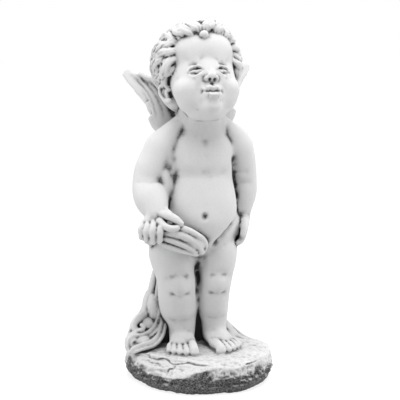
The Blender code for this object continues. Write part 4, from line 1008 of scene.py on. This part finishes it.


# where the dark wash stayed behind in fine grooves and folds, and painted shade where little light gets in
# and in broad hollows
def addWashAndShade(mesh):
    points, normals = readPoints(mesh), readPoints(mesh, "normal")
    hollow = hollowness(mesh, (*(band[0] for band in hollowBands), paintedShadeLook["formRounds"]))
    groove = sum(
        soften(mesh, share * np.clip((hollow[rounds] - begins) / full, 0, 1.2), evening)
        for rounds, begins, full, share, evening in hollowBands
    )
    addAttribute(mesh, "groove", np.clip(groove, 0, 1))
    # painted shade: darker where near surfaces hide the sky
    skyShade = np.clip((hiddenSky(mesh) - 0.26) / 0.55, 0, 1)
    addAttribute(mesh, "skyShade", soften(mesh, skyShade, 4))
    # painted shade: broad hollows turn towards grey
    form = np.clip(0.3 + hollow[paintedShadeLook["formRounds"]] / paintedShadeLook["formDepth"], 0, 1)
    addAttribute(mesh, "form", soften(mesh, form, 6))
    # the dark broken wall reaches up to an uneven edge below the upper side
    low = points[:, 2] < rock["height"] + 0.002
    edge = rock["height"] * np.minimum(0.72 + 0.5 * noiseAt(points * low[:, None], 45, 8.0), 0.93)
    rim = np.hypot(points[:, 0] / (rock["width"] / 2), points[:, 1] / (rock["depth"] / 2)) > 0.78
    wallShare = np.clip((0.75 - normals[:, 2]) / 0.3, 0, 1)
    wallShare *= np.clip((edge - points[:, 2]) / 0.004, 0, 1) * rim
    addAttribute(mesh, "rockWall", soften(mesh, np.where(low, wallShare, 0), 1))
    addAttribute(mesh, "rockTop", np.where(low, 1 - wallShare, 0))


# the stone's colours: the dark wash colour paints both the wash in grooves and painted shade in hidden
# corners, and the grey is painted shade for broad hollows
stoneLook = {
    "white": (0.71, 0.71, 0.71, 1), "shade": (0.64, 0.64, 0.64, 1), "broadHollowShade": (0.40, 0.40, 0.40, 1),
    "washAndShade": (0.035, 0.035, 0.036, 1), "rockWhite": (0.24, 0.24, 0.24, 1),
    "rockDark": (0.025, 0.025, 0.025, 1), "roughness": 0.8, "bump": 0.25,
}


# gives inputs of a node, by name or number, a value or a link from another node's output
def feed(node, inputs):
    for name, value in inputs.items():
        if isinstance(value, bpy.types.NodeSocket):
            node.id_data.links.new(value, node.inputs[name])
        else:
            node.inputs[name].default_value = value


def addNode(tree, kind, inputs=None, **settings):
    made = tree.nodes.new(kind)
    configure(made, settings)
    feed(made, inputs or {})
    return made


def newMaterial(name):
    material = bpy.data.materials.new(name)
    material.use_nodes = True
    return material, material.node_tree, material.node_tree.nodes["Principled BSDF"]


# white cast stone with pinholes, a dark wash in the grooves, painted shade in hidden corners and broad
# hollows, and a dark speckled wall of the rock
def castStone():
    material, tree, shader = newMaterial("castStone")
    place = addNode(tree, "ShaderNodeTexCoord").outputs["Object"]

    def attribute(name):
        return addNode(tree, "ShaderNodeAttribute", attribute_name=name).outputs["Fac"]

    def combine(operation, a, b, clamp=False):
        settings = {"operation": operation, "use_clamp": clamp}
        return addNode(tree, "ShaderNodeMath", {0: a, 1: b}, **settings).outputs[0]

    def times(a, b, clamp=False):
        return combine("MULTIPLY", a, b, clamp)

    def mix(factor, a, b):
        return addNode(tree, "ShaderNodeMix", {0: factor, 6: a, 7: b}, data_type="RGBA").outputs[2]

    def grain(scale, detail=3.0, rough=0.55):
        inputs = {"Scale": scale, "Detail": detail, "Roughness": rough, "Vector": place}
        return addNode(tree, "ShaderNodeTexNoise", inputs).outputs["Fac"]

    def between(value, low, high):
        inputs = {"Value": value, "From Min": low, "From Max": high}
        return addNode(tree, "ShaderNodeMapRange", inputs).outputs[0]

    # the wash lies unevenly in grooves, and painted shade lies unevenly in corners that get little light
    fine, broad = grain(900), grain(60)
    patchy = combine("ADD", times(between(grain(260), 0.2, 0.8), 0.6), 0.7)
    groove = times(attribute("groove"), patchy, clamp=True)
    skyShade = times(attribute("skyShade"), combine("ADD", between(broad, 0.2, 0.8), 0.5), clamp=True)
    inGrooves = times(combine("POWER", groove, 1.3), 0.95)
    # the dark share: wash in the grooves plus painted shade in hidden corners
    washAndShade = combine("ADD", inGrooves, combine("POWER", skyShade, 1.8), clamp=True)
    clean = mix(between(fine, 0.35, 0.65), stoneLook["shade"], stoneLook["white"])
    # painted shade: broad hollows mixed towards grey
    clean = mix(times(attribute("form"), 0.5), clean, stoneLook["broadHollowShade"])
    pinholes = between(grain(1500, 1.0), 0.70, 0.74)
    clean = mix(times(pinholes, 0.35), clean, stoneLook["washAndShade"])
    figureColour = mix(washAndShade, clean, stoneLook["washAndShade"])
    speckle = grain(420, 5.0, 0.75)
    wallColour = mix(between(speckle, 0.42, 0.60), stoneLook["rockDark"], stoneLook["rockWhite"])
    # the rock's upper side takes the wash and the painted shade more lightly
    topColour = mix(times(washAndShade, 0.6), clean, stoneLook["washAndShade"])
    topColour = mix(times(between(speckle, 0.55, 0.66), 0.35), topColour, stoneLook["washAndShade"])
    colour = mix(attribute("rockTop"), figureColour, topColour)
    colour = mix(attribute("rockWall"), colour, wallColour)
    roughness = addNode(tree, "ShaderNodeMapRange", {
        "Value": fine, "To Min": stoneLook["roughness"] - 0.08, "To Max": stoneLook["roughness"] + 0.1,
    })
    height = combine("ADD", fine, times(pinholes, -1.0))
    bump = addNode(tree, "ShaderNodeBump", {
        "Strength": stoneLook["bump"], "Distance": 0.0004, "Height": height,
    })
    feed(shader, {
        "Metallic": 0, "Specular IOR Level": 0.3, "Base Color": colour,
        "Roughness": roughness.outputs[0], "Normal": bump.outputs["Normal"],
    })
    return material


def makeFigurine():
    mesh = sculptCherub()
    print("skin", len(mesh.polygons), "faces")
    roughenRock(mesh)
    mesh = thinOut(mesh, casting["triangles"])
    cutUnderside(mesh)
    addWashAndShade(mesh)
    mesh.shade_smooth()
    mesh.materials.append(castStone())
    figurine = addObject("cherubFigurine", mesh)
    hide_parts("cherub_figurine")
    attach(figurine, "root")
    print("figurine made", len(mesh.polygons), "triangles")


studio = {
    "floorSize": 40.0, "floorColour": (0.3, 0.3, 0.3, 1), "floorGlow": 0.76, "floorBounce": 0.42,
    "darkSky": 0.065, "brightSky": 1.0, "side": 9, "top": 23, "white": (1, 1, 1, 1),
}


# a sheet of paper under the rock, white for the eye and dimmer as a light from below
def makeFloor():
    bpy.ops.mesh.primitive_plane_add(size=studio["floorSize"])
    floor = bpy.context.object
    floor.name = "floor"
    paper, tree, shader = newMaterial("paper")
    glow = addNode(tree, "ShaderNodeMapRange", {
        "Value": addNode(tree, "ShaderNodeLightPath").outputs["Is Camera Ray"],
        "To Min": studio["floorBounce"], "To Max": studio["floorGlow"],
    })
    feed(shader, {
        "Base Color": studio["floorColour"], "Roughness": 0.9, "Emission Color": studio["white"],
        "Emission Strength": glow.outputs[0],
    })
    floor.data.materials.append(paper)


# the room is dim on the side that the figure faces and white all round for the eye
def makeRoom():
    world = bpy.data.worlds.new("studio")
    bpy.context.scene.world = world
    world.use_nodes = True
    tree = world.node_tree
    facing = addNode(tree, "ShaderNodeVectorMath", {
        0: addNode(tree, "ShaderNodeTexCoord").outputs["Generated"], 1: (0.2, 0.98, 0),
    }, operation="DOT_PRODUCT")
    dim = addNode(tree, "ShaderNodeMapRange", {
        "Value": facing.outputs["Value"], "From Min": -0.9, "From Max": 0.3,
        "To Min": studio["darkSky"], "To Max": studio["brightSky"],
    })
    room = tree.nodes["Background"]
    feed(room, {"Color": studio["white"], "Strength": dim.outputs[0]})
    seen = addNode(tree, "ShaderNodeMixShader", {
        0: addNode(tree, "ShaderNodeLightPath").outputs["Is Camera Ray"], 1: room.outputs[0],
        2: addNode(tree, "ShaderNodeBackground", {"Color": studio["white"]}).outputs[0],
    })
    feed(tree.nodes["World Output"], {"Surface": seen.outputs[0]})


def aimAt(thing, target):
    thing.rotation_euler = (Vector(target) - thing.location).to_track_quat("-Z", "Y").to_euler()


def makeLights():
    for name, place, size, power in (
        ("leftBox", (-1.5, -0.5, 0.8), 1.0, studio["side"]),
        ("rightBox", (1.5, -0.4, 0.7), 1.0, studio["side"]),
        ("topBox", (0, -0.4, 1.8), 1.2, studio["top"]),
    ):
        light = bpy.data.lights.new(name, "AREA")
        light.size = size
        light.energy = power
        lamp = addObject(name, light)
        lamp.location = place
        aimAt(lamp, (0, 0, 0.25))


def makeStudio():
    makeFloor()
    makeRoom()
    makeLights()
    bpy.context.scene.view_settings.view_transform = "Standard"
    print("studio made")


view = {"azimuth": -13, "distance": 1.4, "height": 0.4756, "aim": (0, 0, 0.2546), "lens": 91.2}


def makeCamera():
    turn, away = math.radians(view["azimuth"]), view["distance"]
    camera = addObject("camera", bpy.data.cameras.new("camera"))
    camera.data.lens = view["lens"]
    camera.location = (away * math.sin(turn), -away * math.cos(turn), view["height"])
    aimAt(camera, view["aim"])
    bpy.context.scene.camera = camera


makeFigurine()
makeStudio()
makeCamera()
